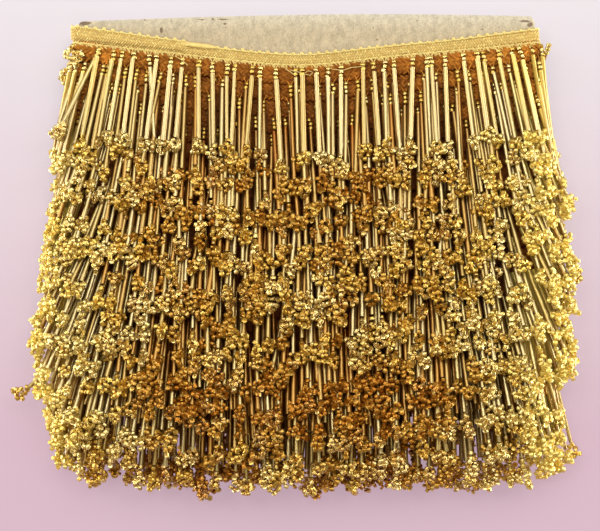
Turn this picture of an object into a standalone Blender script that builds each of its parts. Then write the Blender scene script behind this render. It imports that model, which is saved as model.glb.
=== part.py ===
"""Roll of beaded tassel fringe: a gold gimp braid wound round a greyboard card.

The card lies flat, face up. +X runs along the braid, +Y towards the card's bare edge and +Z out
of the front face. The origin is at the bottom centre of the whole roll's box. A drop is measured
along -Y from the middle of the top turn of braid, and a height out from the card's surface.
"""
import math
import random
from collections import namedtuple

import bmesh
import bpy
from mathutils import Vector

MM = 0.001
GAP = 0.3 * MM

# The card.
CARD_WIDTH = 222 * MM
CARD_THICKNESS = 3 * MM
CARD_ABOVE_BRAID = 10.3 * MM
CARD_BELOW_BRAID = 172 * MM
CARD_CROWN = 3.5 * MM
CARD_CORNER = 3 * MM
CARD_CROWN_STEPS = 12

# The braid, which hangs lower in the middle of the card than at its ends.
BRAID_WIDTH = 6.4 * MM
BRAID_THICKNESS = 1.2 * MM
BRAID_SAG = 12 * MM
BRAID_SAG_ROUND = 19 * MM
BRAID_COLUMN = 7 * MM
BRAID_END_ANGLES = (22, 45, 68, 90, 112, 135, 158)
END_TUCK = 0.5 * MM

# The strands: a seed-bead neck, a long bugle bead and a cluster of seed beads.
STRAND_LENGTH = 47 * MM
BUGLE_THICKNESS = 2 * MM
CLUSTER_LENGTH = 7 * MM
CLUSTER_THICKNESS = 4.6 * MM
CLUSTER_INNER_SHARE = 0.6
CLUSTER_TIP_SHARE = 0.4
FAN_POWER = 3

# The narrow strip that a tier's strands are fused to.
STRIP_HEIGHT = 2.2 * MM
STRIP_THICKNESS = 1.2 * MM
STRIP_BEND = 30

# Each tier of strands, in millimetres and degrees: the drop of its strip's lower edge, the heights
# of its strip and its tips, how far its necks climb over the turn below, the spacing of the tips,
# the widths of a bugle and a cluster, how much shorter every other strand is, by how much more the
# strands are uneven, and how far the tier wraps past the front face at each end of the card, where
# 180 is all the way round.
Tier = namedtuple("Tier", "name drop root tip neck spacing bugle cluster stagger uneven wrap")
TIER_TABLE = [
    Tier("top_fringe", 5.7, 0.9, 14.5, 2.1, 5.8, 2.0, 6.0, 7.3, 0.0, 180),
    Tier("fringe_tier_2", 31.5, 2.6, 16.0, 0.0, 12.4, 5.2, 9.0, 3.0, 2.0, 90),
    Tier("fringe_tier_3", 58.2, 5.0, 18.0, 0.0, 12.4, 5.2, 9.0, 3.0, 2.0, 90),
    Tier("fringe_tier_4", 84.9, 7.0, 20.0, 0.0, 12.4, 5.2, 9.0, 3.0, 2.0, 90),
    Tier("fringe_tier_5", 111.6, 9.0, 20.0, 0.0, 12.4, 5.2, 9.0, 3.0, 2.0, 90),
    Tier("fringe_tier_6", 138.3, 9.0, 20.0, 0.0, 12.4, 5.2, 9.0, 3.0, 2.0, 90),
    Tier("fringe_tier_7", 165.0, 9.0, 14.5, 0.0, 12.4, 5.2, 9.0, 3.0, 2.0, 180),
]
TIERS = [Tier(row.name, *(length * MM for length in row[1:-1]), row.wrap) for row in TIER_TABLE]
TOP_TIER = TIERS[0]
LAST_TIER = TIERS[-1]
NECK_LENGTH = 3.8 * MM

# The strand that has sprung out at the card's left end: the drops, outer heights, widths and
# thicknesses of its bends, in millimetres. It slips out under the tips of the tier above.
STRAY_TIER = "fringe_tier_6"
StrayBend = namedtuple("StrayBend", "drop outer width thickness")
STRAY_TABLE = [
    StrayBend(159.4, 14.9, 2.2, 2.0),
    StrayBend(168.0, 24.5, 2.4, 2.6),
    StrayBend(170.8, 29.0, 6.4, 5.6),
    StrayBend(173.6, 30.4, 2.4, 2.2),
]
STRAY_BENDS = [StrayBend(*(length * MM for length in row)) for row in STRAY_TABLE]

# The wound form under the strands. Heights are pressed down over the card's flat faces.
FACE_PRESS = 0.88
WINDING_TOP = 9.4 * MM
WINDING_END = 204 * MM
WINDING_TAPER = 5 * MM
TURN_PITCH = 9 * MM
TURN_STEP = 1.2 * MM
TURN_UNEVEN = 0.6 * MM
STRAND_CLEAR = 0.5 * MM
TURN_COLUMN = 20 * MM
TURN_END_ANGLES = (20, 44, 64, 82, 90, 98, 114, 130, 146, 162)
BACK_FROM_ANGLE = 118
BACK_FULL_ANGLE = 160

# The loose hem, past the card's hidden edge, sinks towards the floor.
HEM_START = 165 * MM
HEM_LENGTH = 47 * MM
HEM_DROOP = 0.42

CARD_HALF = CARD_THICKNESS / 2
CORE_HALF = CARD_WIDTH / 2 - END_TUCK
CARD_LEVEL = CARD_HALF + FACE_PRESS * TOP_TIER.tip

Finish = namedtuple("Finish", "name color roughness metallic")
GREYBOARD = Finish("greyboard", (0.66, 0.56, 0.40, 1), 0.9, 0)
GOLD_BRAID = Finish("gold_braid", (0.72, 0.47, 0.16, 1), 0.6, 0.1)
GOLD_BEADS = Finish("gold_beads", (0.62, 0.42, 0.10, 1), 0.3, 0.8)
SHADED_BEADS = Finish("shaded_beads", (0.34, 0.19, 0.05, 1), 0.5, 0.5)

# A place round the card: how far along a flat face, which side of the middle, and the angle
# turned from the front face's outward direction.
Station = namedtuple("Station", "along side angle")
# A cross-section of a strand: its drop, its station, the height of its outer face, its widths at
# the outer and inner faces, and its thickness.
Section = namedtuple("Section", "drop station outer outer_width inner_width thickness")


def clear_scene():
    """Remove what a new file holds."""
    for item in list(bpy.data.objects):
        bpy.data.objects.remove(item, do_unlink=True)


def make_material(finish):
    """Return a Principled material with a finish's colour, roughness and metallic value."""
    material = bpy.data.materials.get(finish.name)
    if material is None:
        material = bpy.data.materials.new(finish.name)
        material.use_nodes = True
        shader = material.node_tree.nodes["Principled BSDF"]
        shader.inputs["Base Color"].default_value = finish.color
        shader.inputs["Roughness"].default_value = finish.roughness
        shader.inputs["Metallic"].default_value = finish.metallic
        material.diffuse_color = finish.color
    return material


def add_part(name, data, finish, roll):
    """Put a mesh or curve in the roll's collection, under the roll's empty."""
    part = bpy.data.objects.new(name, data)
    data.materials.append(make_material(finish))
    roll.users_collection[0].objects.link(part)
    part.parent = roll
    return part


def add_mesh_part(name, bm, finish, roll):
    """Make a part of a finished bmesh."""
    bmesh.ops.recalc_face_normals(bm, faces=bm.faces)
    mesh = bpy.data.meshes.new(name)
    bm.to_mesh(mesh)
    bm.free()
    return add_part(name, mesh, finish, roll)


# Places on the winding -----------------------------------------------------------------------

def braid_sag(x):
    """Return how much lower a turn hangs at x than at the card's ends."""
    half = CARD_WIDTH / 2
    reach = math.hypot(half, BRAID_SAG_ROUND) - BRAID_SAG_ROUND
    away = math.hypot(min(abs(x), half), BRAID_SAG_ROUND) - BRAID_SAG_ROUND
    return BRAID_SAG * (1 - away / reach)


def quarter_run(height):
    """Return the way round from the middle of the front to the middle of one end."""
    return CORE_HALF + math.pi / 2 * (CARD_HALF + height)


def station_at(run, height):
    """Return the station at a run round the card, measured from mid-front at a height."""
    radius = CARD_HALF + height
    side = 1 if run >= 0 else -1
    past_face = max(abs(run) - CORE_HALF, 0)
    angle = min(past_face / radius, math.pi)
    back = max(past_face - math.pi * radius, 0)
    return Station(min(abs(run), CORE_HALF) - back, side, angle)


def place(station, drop, height, across=0):
    """Return the point at a station, a drop and a height, moved across along the winding."""
    sine = math.sin(station.angle)
    cosine = math.cos(station.angle)
    x = station.side * (station.along + (CARD_HALF + height) * sine) + across * cosine
    level = CARD_LEVEL + cosine * (CARD_HALF + height * FACE_PRESS)
    level -= across * station.side * sine
    hang = min(max((drop - HEM_START) / HEM_LENGTH, 0), 1)
    level *= 1 - HEM_DROOP * hang ** 2
    return Vector((x, -drop - braid_sag(x), max(level, 0)))


def ring_stations(column, end_angles):
    """Return stations once round the card, from the front's left, clockwise seen from the top."""
    steps = round(2 * CORE_HALF / column)
    face = [2 * CORE_HALF * step / steps - CORE_HALF for step in range(steps + 1)]
    stations = [Station(abs(x), math.copysign(1, x), 0) for x in face]
    stations += [Station(CORE_HALF, 1, math.radians(angle)) for angle in end_angles]
    stations += [Station(abs(x), math.copysign(1, x), math.pi) for x in reversed(face)]
    stations += [Station(CORE_HALF, -1, math.radians(angle)) for angle in reversed(end_angles)]
    return stations


def root_run(tip_run, tip_height, root_height):
    """Return where a strand is sewn on, from where its tip lies.

    Strands hang straight down over most of a face, and fan out towards the card's ends.
    """
    tip_quarter = quarter_run(tip_height)
    root_quarter = quarter_run(root_height)
    from_end = abs(tip_run) - tip_quarter
    gathered = 1 - (1 - min(abs(from_end) / tip_quarter, 1)) ** FAN_POWER
    root_from_end = abs(from_end) - (tip_quarter - root_quarter) * gathered
    return math.copysign(root_quarter + math.copysign(root_from_end, from_end), tip_run)


# Sub-parts -----------------------------------------------------------------------------------

def build_card(roll):
    """Cut the greyboard, with a slightly crowned edge above the braid."""
    half = CARD_WIDTH / 2
    outline = []
    for step in range(CARD_CROWN_STEPS + 1):
        share = 1 - 2 * step / CARD_CROWN_STEPS
        outline.append((share * (half - CARD_CORNER), CARD_ABOVE_BRAID - CARD_CROWN * share ** 2))
    shoulder = CARD_ABOVE_BRAID - CARD_CROWN - CARD_CORNER
    outline.append((-half, shoulder))
    outline.append((-half, CARD_CORNER - CARD_BELOW_BRAID))
    outline.append((CARD_CORNER - half, -CARD_BELOW_BRAID))
    outline.append((half - CARD_CORNER, -CARD_BELOW_BRAID))
    outline.append((half, CARD_CORNER - CARD_BELOW_BRAID))
    outline.append((half, shoulder))
    curve = bpy.data.curves.new("card", "CURVE")
    curve.dimensions = "2D"
    curve.fill_mode = "BOTH"
    curve.extrude = CARD_HALF
    spline = curve.splines.new("POLY")
    spline.points.add(len(outline) - 1)
    for point, (x, y) in zip(spline.points, outline):
        point.co = (x, y, 0, 1)
    spline.use_cyclic_u = True
    card = add_part("card", curve, GREYBOARD, roll)
    card.location.z = CARD_LEVEL


def skin_rings(bm, rings, closed):
    """Skin a row of rings, and close the row on itself or leave both ends open."""
    columns = [[bm.verts.new(point) for point in ring] for ring in rings]
    pairs = list(zip(columns, columns[1:]))
    if closed:
        pairs.append((columns[-1], columns[0]))
    for first, second in pairs:
        for number, corner in enumerate(first):
            beside = (number + 1) % len(first)
            bm.faces.new((corner, first[beside], second[beside], second[number]))
    return columns


def build_heading(roll):
    """Lay the top turn of braid, a closed band that is thickest along its middle."""
    half = BRAID_WIDTH / 2
    outer = GAP + BRAID_THICKNESS
    edge = GAP + BRAID_THICKNESS * 0.7
    profile = [(-half, GAP), (-half, edge), (0, outer), (half, edge), (half, GAP)]
    rings = []
    for station in ring_stations(BRAID_COLUMN, BRAID_END_ANGLES):
        rings.append([place(station, drop, height) for drop, height in profile])
    bm = bmesh.new()
    skin_rings(bm, rings, True)
    add_mesh_part("top_heading", bm, GOLD_BRAID, roll)


def winding_rows(tier, start, end):
    """Return a tier's steps of the wound form, as drops and depths under the strands.

    The form has a seat for the tier's strip, and then a lip and an inner corner for each turn.
    """
    rows = []
    if tier is not TOP_TIER:
        rows = [(start, 0), (tier.drop, 0)]
        start = tier.drop
    turns = round((end - start) / TURN_PITCH)
    for turn in range(turns):
        lip = start + (end - start) * (turn + 1) / turns
        depth = 0
        if tier is LAST_TIER:
            depth = WINDING_TAPER * ((lip - start) / (end - start)) ** 2
        if turn or tier is TOP_TIER:
            rows.append((start + (end - start) * turn / turns, depth + TURN_STEP))
        rows.append((lip, depth))
    return rows


def station_run(station, height):
    """Return the run round the card of a station, from mid-front at a height."""
    if station.angle < math.pi:
        return station.side * (station.along + station.angle * (CARD_HALF + height))
    return station.side * (2 * quarter_run(height) - station.along)


def winding_point(tier, hung, drop, depth):
    """Return a point of the wound form, at a depth under the straight strands of a tier."""
    knee = tier.drop + (NECK_LENGTH if tier.neck else 0)
    cluster_drop = tier.drop + STRAND_LENGTH - CLUSTER_LENGTH
    share = max((drop - knee) / (cluster_drop - knee), 0)
    under = BUGLE_THICKNESS / 2 + STRAND_CLEAR + depth
    if share:
        seat = tier.root + tier.neck - under
    else:
        seat = tier.root - STRIP_THICKNESS / 2 - GAP
    tip_run = station_run(hung, tier.tip)
    sewn = station_at(root_run(tip_run, tier.tip, tier.root), tier.root)
    upper = place(sewn, knee, seat)
    lower = place(hung, cluster_drop, tier.tip - CLUSTER_THICKNESS / 2 - under)
    point = upper.lerp(lower, share)
    turned = math.degrees(hung.angle)
    back = min(max((turned - BACK_FROM_ANGLE) / (BACK_FULL_ANGLE - BACK_FROM_ANGLE), 0), 1)
    if tier.wrap < 180 and back:
        point = point.lerp(back_point(tier, hung, drop, depth), back)
    point.y = -drop - braid_sag(point.x)
    return point


def back_point(tier, hung, drop, depth):
    """Return a point of the wound form's back: under the top strands, and then on the floor."""
    if tier is not TIERS[1]:
        return place(hung, drop, TOP_TIER.tip)
    cluster_drop = TOP_TIER.drop + STRAND_LENGTH - CLUSTER_LENGTH
    cluster_depth = GAP + (CLUSTER_THICKNESS - BUGLE_THICKNESS) / 2
    return winding_point(TOP_TIER, hung, min(drop, cluster_drop), max(depth, cluster_depth))


def slot_point(station):
    """Return a point of the slot's top edge, which clears the card's square corners."""
    point = place(station, WINDING_TOP, GAP)
    if 0 < station.angle < math.pi:
        level = round(math.cos(station.angle)) * (CARD_HALF + GAP)
        point = Vector((station.side * (CARD_WIDTH / 2 + GAP), -WINDING_TOP, CARD_LEVEL + level))
    return point


def build_winding(roll):
    """Wind the lower turns: a stepped, uneven form with a slot for the card."""
    rng = random.Random(11)
    columns = ring_stations(TURN_COLUMN, TURN_END_ANGLES)
    rings = []
    for tier, following in zip(TIERS, TIERS[1:] + [None]):
        start = WINDING_TOP if tier is TOP_TIER else tier.drop - STRIP_HEIGHT - GAP
        end = following.drop - STRIP_HEIGHT - GAP if following else WINDING_END
        for drop, depth in winding_rows(tier, start, end):
            ring = []
            for hung in columns:
                uneven = rng.uniform(0, TURN_UNEVEN) if depth else 0
                ring.append(winding_point(tier, hung, drop, depth + uneven))
            rings.append(ring)
    slot = []
    for hung in columns:
        sewn = root_run(station_run(hung, TOP_TIER.tip), TOP_TIER.tip, GAP)
        slot.append(slot_point(station_at(sewn, GAP)))
    slot_end = [Vector((point.x, -CARD_BELOW_BRAID - GAP, point.z)) for point in slot]
    bm = bmesh.new()
    skinned = skin_rings(bm, [slot_end, slot] + rings, False)
    bm.faces.new(skinned[0])
    bm.faces.new(skinned[-1])
    add_mesh_part("wound_roll", bm, SHADED_BEADS, roll)


def spread_runs(tier):
    """Return the runs of a tier's tips, in order round the card."""
    if tier.wrap == 180:
        quarter = quarter_run(tier.tip)
        count = 2 * round(2 * quarter / tier.spacing)
        step = 4 * quarter / count
        return [step * (number + 0.5) - 2 * quarter for number in range(count)]
    reach = CORE_HALF + math.radians(tier.wrap) * (CARD_HALF + tier.tip)
    gaps = round(2 * reach / tier.spacing)
    return [2 * reach * number / gaps - reach for number in range(gaps + 1)]


def strand_sections(tier, tip_run, shorter):
    """Return a strand's cross-sections, from its strip to its tip."""
    sewn = station_at(root_run(tip_run, tier.tip, tier.root), tier.root)
    hung = station_at(tip_run, tier.tip)
    tip_drop = tier.drop + STRAND_LENGTH - shorter
    bugle = (tier.bugle, tier.bugle, BUGLE_THICKNESS)
    strip_outer = tier.root + STRIP_THICKNESS / 2
    sections = [Section(tier.drop, sewn, strip_outer, tier.bugle, tier.bugle, STRIP_THICKNESS)]
    if tier.neck:
        neck_outer = tier.root + tier.neck + BUGLE_THICKNESS / 2
        sections.append(Section(tier.drop + NECK_LENGTH, sewn, neck_outer, *bugle))
    bugle_outer = tier.tip - (CLUSTER_THICKNESS - BUGLE_THICKNESS) / 2
    widest = tip_drop - CLUSTER_LENGTH / 2
    inner_width = tier.cluster * CLUSTER_INNER_SHARE
    tip_width = tier.cluster * CLUSTER_TIP_SHARE
    sections += [
        Section(tip_drop - CLUSTER_LENGTH, hung, bugle_outer, *bugle),
        Section(widest, hung, tier.tip, tier.cluster, inner_width, CLUSTER_THICKNESS),
        Section(tip_drop, hung, tier.tip, tip_width, tip_width, BUGLE_THICKNESS),
    ]
    return sections


def stray_sections(tier, tip_run):
    """Return the cross-sections of the strand that has sprung out of its tier."""
    sewn = strand_sections(tier, tip_run, 0)[0]
    station = station_at(tip_run, tier.tip)
    return [sewn] + [
        Section(bend.drop, station, bend.outer, bend.width, bend.width, bend.thickness)
        for bend in STRAY_BENDS
    ]


def section_corners(section):
    """Return a cross-section's corners: left and right outside, then right and left inside."""
    outer = section.outer
    inner = section.outer - section.thickness
    outer_half = section.outer_width / 2
    inner_half = section.inner_width / 2
    corners = [(outer, -outer_half), (outer, outer_half), (inner, inner_half), (inner, -inner_half)]
    return [place(section.station, section.drop, height, across) for height, across in corners]


def build_tier(tier, roll):
    """Sew a tier: a narrow strip, with its strands grown from the strip's lower edge."""
    rng = random.Random(tier.name)
    strands = []
    for number, run in enumerate(spread_runs(tier)):
        shorter = (number % 2) * tier.stagger + rng.uniform(0, tier.uneven)
        if tier.name == STRAY_TIER and number == 0:
            strands.append(stray_sections(tier, run))
        else:
            strands.append(strand_sections(tier, run, shorter))
    strip = []
    roots = []
    for sections, following in zip(strands, strands[1:] + strands[:1]):
        sewn = sections[0]
        roots.append(len(strip))
        lower = section_corners(sewn)
        upper = section_corners(sewn._replace(drop=tier.drop - STRIP_HEIGHT))
        strip.append((upper[0], lower[0], lower[3], upper[3]))
        strip.append((upper[1], lower[1], lower[2], upper[2]))
        strip += strip_turn(tier, sewn, following[0])
    bm = bmesh.new()
    closed = tier.wrap == 180
    if not closed:
        strip = strip[:roots[-1] + 2]
    columns = skin_rings(bm, strip, closed)
    if not closed:
        bm.faces.new(columns[0])
        bm.faces.new(columns[-1])
    for first, sections in zip(roots, strands):
        left = columns[first]
        right = columns[first + 1]
        grow_strand(bm, (left[1], right[1], right[2], left[2]), sections[1:])
    add_mesh_part(tier.name, bm, GOLD_BEADS, roll)


def strip_turn(tier, sewn, following):
    """Return the strip's extra rings where it turns round the card's edge between two strands."""
    rings = []
    first = sewn.station
    second = following.station
    top = tier.drop - STRIP_HEIGHT
    inner = sewn.outer - STRIP_THICKNESS
    profile = [(top, sewn.outer), (tier.drop, sewn.outer), (tier.drop, inner), (top, inner)]
    bends = int(abs(math.degrees(first.angle - second.angle)) // STRIP_BEND)
    for bend in range(1, bends + 1):
        angle = first.angle + (second.angle - first.angle) * bend / (bends + 1)
        station = Station(CORE_HALF, first.side, angle)
        rings.append([place(station, drop, height) for drop, height in profile])
    return rings


def grow_strand(bm, root, sections):
    """Grow a strand from the strip's face with the given corners."""
    bm.faces.remove(bm.faces.get(root))
    corners = root
    for section in sections:
        ring = [bm.verts.new(point) for point in section_corners(section)]
        for number, corner in enumerate(corners):
            beside = (number + 1) % len(ring)
            bm.faces.new((corner, corners[beside], ring[beside], ring[number]))
        corners = ring
    bm.faces.new(corners)


def centre_on_box(roll):
    """Move the roll so that its origin is at the bottom centre of its box."""
    bpy.context.view_layer.update()
    graph = bpy.context.evaluated_depsgraph_get()
    points = []
    for part in roll.children:
        shown = part.evaluated_get(graph)
        mesh = shown.to_mesh()
        points += [shown.matrix_world @ vertex.co for vertex in mesh.vertices]
        shown.to_mesh_clear()
    for axis in (0, 1):
        values = [point[axis] for point in points]
        roll.location[axis] = -(min(values) + max(values)) / 2


def main():
    """Build the roll."""
    clear_scene()
    collection = bpy.data.collections.new("fringe_roll")
    bpy.context.scene.collection.children.link(collection)
    roll = bpy.data.objects.new("fringe_roll_origin", None)
    collection.objects.link(roll)
    build_card(roll)
    build_winding(roll)
    build_heading(roll)
    for tier in TIERS:
        build_tier(tier, roll)
    centre_on_box(roll)


main()
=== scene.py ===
"""Dresses the roll of beaded tassel fringe: a gold gimp braid, wound round a greyboard card.

The card lies on its back, face up: +X runs along the braid, +Y goes towards the card's bare edge
and +Z comes out of its front face. A run is measured round the card from the middle of its front,
a drop along -Y from the middle of the top turn of braid, and a height out from the card's faces.
"""
import logging
import math
import random
from dataclasses import dataclass, field
from enum import IntEnum
from functools import partialmethod
from typing import Any, ClassVar, Sequence

import bmesh
import bpy
import numpy as np
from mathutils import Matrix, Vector, noise
from mathutils.kdtree import KDTree

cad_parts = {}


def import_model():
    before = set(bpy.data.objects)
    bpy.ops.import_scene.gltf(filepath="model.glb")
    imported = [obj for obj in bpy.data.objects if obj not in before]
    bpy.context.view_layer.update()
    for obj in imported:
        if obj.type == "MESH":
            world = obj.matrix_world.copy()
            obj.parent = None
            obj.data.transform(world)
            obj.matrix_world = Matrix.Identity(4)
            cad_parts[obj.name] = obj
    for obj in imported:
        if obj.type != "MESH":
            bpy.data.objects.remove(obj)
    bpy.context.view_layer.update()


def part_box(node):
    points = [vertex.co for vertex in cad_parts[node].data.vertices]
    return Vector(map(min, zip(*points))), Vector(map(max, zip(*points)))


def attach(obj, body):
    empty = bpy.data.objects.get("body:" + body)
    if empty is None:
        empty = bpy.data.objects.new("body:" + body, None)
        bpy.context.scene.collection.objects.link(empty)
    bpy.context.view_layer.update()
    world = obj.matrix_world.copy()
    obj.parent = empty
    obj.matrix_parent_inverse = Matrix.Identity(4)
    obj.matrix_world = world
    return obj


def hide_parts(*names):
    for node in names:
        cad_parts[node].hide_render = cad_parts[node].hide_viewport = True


MM = 0.001
BODY = "root"

Colour = tuple[float, float, float, float]
Triple = tuple[float, float, float]
Pair = tuple[float, float]
Line = list[Vector]
Mesh = bpy.types.Mesh
Material = bpy.types.Material
Socket = bpy.types.NodeSocket

log = logging.getLogger("fringe_roll")


def limited(value: float, low: float = 0.0, high: float = 1.0) -> float:
    """Keeps a value between two others."""
    return min(max(value, low), high)


def smoothstep(low: float, high: float, value: float) -> float:
    """Eases from 0, where the value is low, to 1, where it is high."""
    share = limited((value - low) / (high - low))
    return share * share * (3 - 2 * share)


def across(direction: Vector, reference: Vector) -> Vector:
    """Gives the part of a reference direction that is square to another direction.

    Args:
        direction: A direction of length 1.
        reference: Any direction.

    Returns:
        A direction of length 1, square to direction.
    """
    square = reference - direction * direction.dot(reference)
    if square.length < 1e-6:
        square = direction.orthogonal()
    return square.normalized()


def add_object(name: str, data: bpy.types.ID) -> bpy.types.Object:
    """Puts a mesh, a lamp or a camera in the scene.

    Args:
        name: The object's name.
        data: What it shows.

    Returns:
        The object.
    """
    item = bpy.data.objects.new(name, data)
    bpy.context.scene.collection.objects.link(item)
    return item


# ---- Node trees ----


class TreeSketch:
    """Adds nodes to one node tree, and links them as their inputs are given."""

    def __init__(self, tree: bpy.types.NodeTree) -> None:
        """Keeps the tree that the nodes go into."""
        self.tree = tree

    @staticmethod
    def socket(sockets: Sequence[Socket], name: str | int) -> Socket:
        """Finds a socket by its index, its identifier or else its name, among those in use.

        Args:
            sockets: A node's inputs or outputs.
            name: The socket's index, identifier or shown name.

        Returns:
            The first socket that fits.
        """
        if isinstance(name, int):
            return sockets[name]
        for key in ("identifier", "name"):
            for item in sockets:
                if item.enabled and getattr(item, key) == name:
                    return item
        raise KeyError(name)

    def feed(self, node: bpy.types.Node, inputs: dict[str | int, Any]) -> None:
        """Fills a node's inputs.

        Args:
            node: The node.
            inputs: What goes into each input: a socket to link from, or a plain value.
        """
        for name, value in inputs.items():
            target = self.socket(node.inputs, name)
            if isinstance(value, Socket):
                self.tree.links.new(value, target)
            else:
                target.default_value = value

    def add(self, kind: str, inputs: dict[str | int, Any] | None = None, **settings: Any) -> bpy.types.Node:
        """Adds a node.

        Args:
            kind: Blender's type name of the node.
            inputs: What goes into each input.
            **settings: Properties to set on the node before its inputs are used.

        Returns:
            The new node.
        """
        node = self.tree.nodes.new(kind)
        for name, value in settings.items():
            setattr(node, name, value)
        self.feed(node, inputs or {})
        return node

    def out(self, kind: str, inputs: dict[str | int, Any] | None = None, output: str = "",
            **settings: Any) -> Socket:
        """Adds a node and gives one of its outputs.

        Args:
            kind: Blender's type name of the node.
            inputs: What goes into each input.
            output: The name of the output, or nothing for the first one in use.
            **settings: Properties to set on the node.

        Returns:
            The output.
        """
        node = self.add(kind, inputs, **settings)
        if output:
            return self.socket(node.outputs, output)
        return next(item for item in node.outputs if item.enabled)

    def math(self, operation: str, first: Any, second: Any = 0.0) -> Socket:
        """Works out a number from one or two others."""
        return self.out("ShaderNodeMath", {0: first, 1: second}, operation=operation)

    # The sums that most trees need.
    plus = partialmethod(math, "ADD")
    minus = partialmethod(math, "SUBTRACT")
    times = partialmethod(math, "MULTIPLY")
    larger = partialmethod(math, "MAXIMUM")
    smaller = partialmethod(math, "MINIMUM")

    def scaled(self, vector: Any, scale: Any) -> Socket:
        """Scales a vector or a colour."""
        return self.out("ShaderNodeVectorMath", {"Vector": vector, "Scale": scale}, operation="SCALE")

    def coordinate(self, vector: Any, axis: str) -> Socket:
        """Gives one coordinate of a vector."""
        return self.add("ShaderNodeSeparateXYZ", {"Vector": vector}).outputs[axis]

    def remap(self, value: Any, old: Pair, new: Pair = (0.0, 1.0)) -> Socket:
        """Maps one range of values, old, onto another one, new, and stops at its ends."""
        inputs = {"Value": value, "From Min": old[0], "From Max": old[1], "To Min": new[0], "To Max": new[1]}
        return self.out("ShaderNodeMapRange", inputs)

    def mix(self, share: Any, first: Any, second: Any, **settings: Any) -> Socket:
        """Mixes two colours, where share is the second one's share."""
        inputs = {"Factor_Float": share, "A_Color": first, "B_Color": second}
        return self.out("ShaderNodeMix", inputs, "Result_Color", data_type="RGBA", **settings)


class GroupSketch(TreeSketch):
    """A node group with named inputs and outputs."""

    def __init__(self, name: str, kind: str, inputs: Sequence[tuple], outputs: Sequence[tuple]) -> None:
        """Makes the group.

        Args:
            name: Its name.
            kind: Blender's type name of its tree.
            inputs: For each input its name, its type and, where it has one, its default value.
            outputs: The same for each output.
        """
        super().__init__(bpy.data.node_groups.new(name, kind))
        for direction, sockets in (("INPUT", inputs), ("OUTPUT", outputs)):
            for label, socket_kind, *default in sockets:
                item = self.tree.interface.new_socket(
                    label, in_out=direction, socket_type="NodeSocket" + socket_kind
                )
                if default:
                    item.default_value = default[0]
        self.given = self.add("NodeGroupInput").outputs

    def give(self, outputs: dict[str, Socket]) -> None:
        """Ends the tree with what it puts out."""
        self.add("NodeGroupOutput", outputs)


class BeadKind(IntEnum):
    """The shapes that a node tree puts on the points."""

    FINE_SEED = 0
    PLAIN_SEED = 1
    BUGLE = 2
    PLAIT = 3


@dataclass
class PointCloud:
    """Points for a node tree to put beads or plaits on."""

    COLUMNS: ClassVar[tuple[tuple[str, str, str], ...]] = (
        ("bead_axis", "FLOAT_VECTOR", "vector"),
        ("bead_facing", "FLOAT_VECTOR", "vector"),
        ("bead_size", "FLOAT_VECTOR", "vector"),
        ("tone", "FLOAT", "value"),
        ("bead_kind", "INT", "value"),
        ("bead_depth", "FLOAT", "value"),
    )

    rows: list[tuple] = field(default_factory=list)

    def add(self, place: Vector, axis: Vector, facing: Vector, size: Triple, tone: float,
            kind: BeadKind, depth: float = 0.0) -> None:
        """Adds a point.

        Args:
            place: Where the bead's middle is.
            axis: The way its thread runs.
            facing: The way its flat side faces.
            size: Its width, its depth along facing and its length along the axis.
            tone: Its shade, from 0, deep, to 1, pale.
            kind: Which shape it is.
            depth: How deep in the pile it lies, up to 1, which sets its painted shade, or below 0
                where light comes through it, which sets its painted light.
        """
        self.rows.append((place, axis, facing, size, tone, int(kind), depth))

    def mesh(self, name: str) -> Mesh:
        """Makes a mesh of loose points that carry their columns as attributes.

        Args:
            name: The mesh's name.

        Returns:
            The mesh.
        """
        places, *columns = zip(*self.rows)
        mesh = bpy.data.meshes.new(name)
        mesh.vertices.add(len(places))
        mesh.vertices.foreach_set("co", np.array(places, dtype=np.float32).ravel())
        for (label, kind, key), values in zip(self.COLUMNS, columns):
            layer = mesh.attributes.new(label, kind, "POINT")
            dtype = np.int32 if kind == "INT" else np.float32
            layer.data.foreach_set(key, np.array(values, dtype=dtype).ravel())
        return mesh


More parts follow.
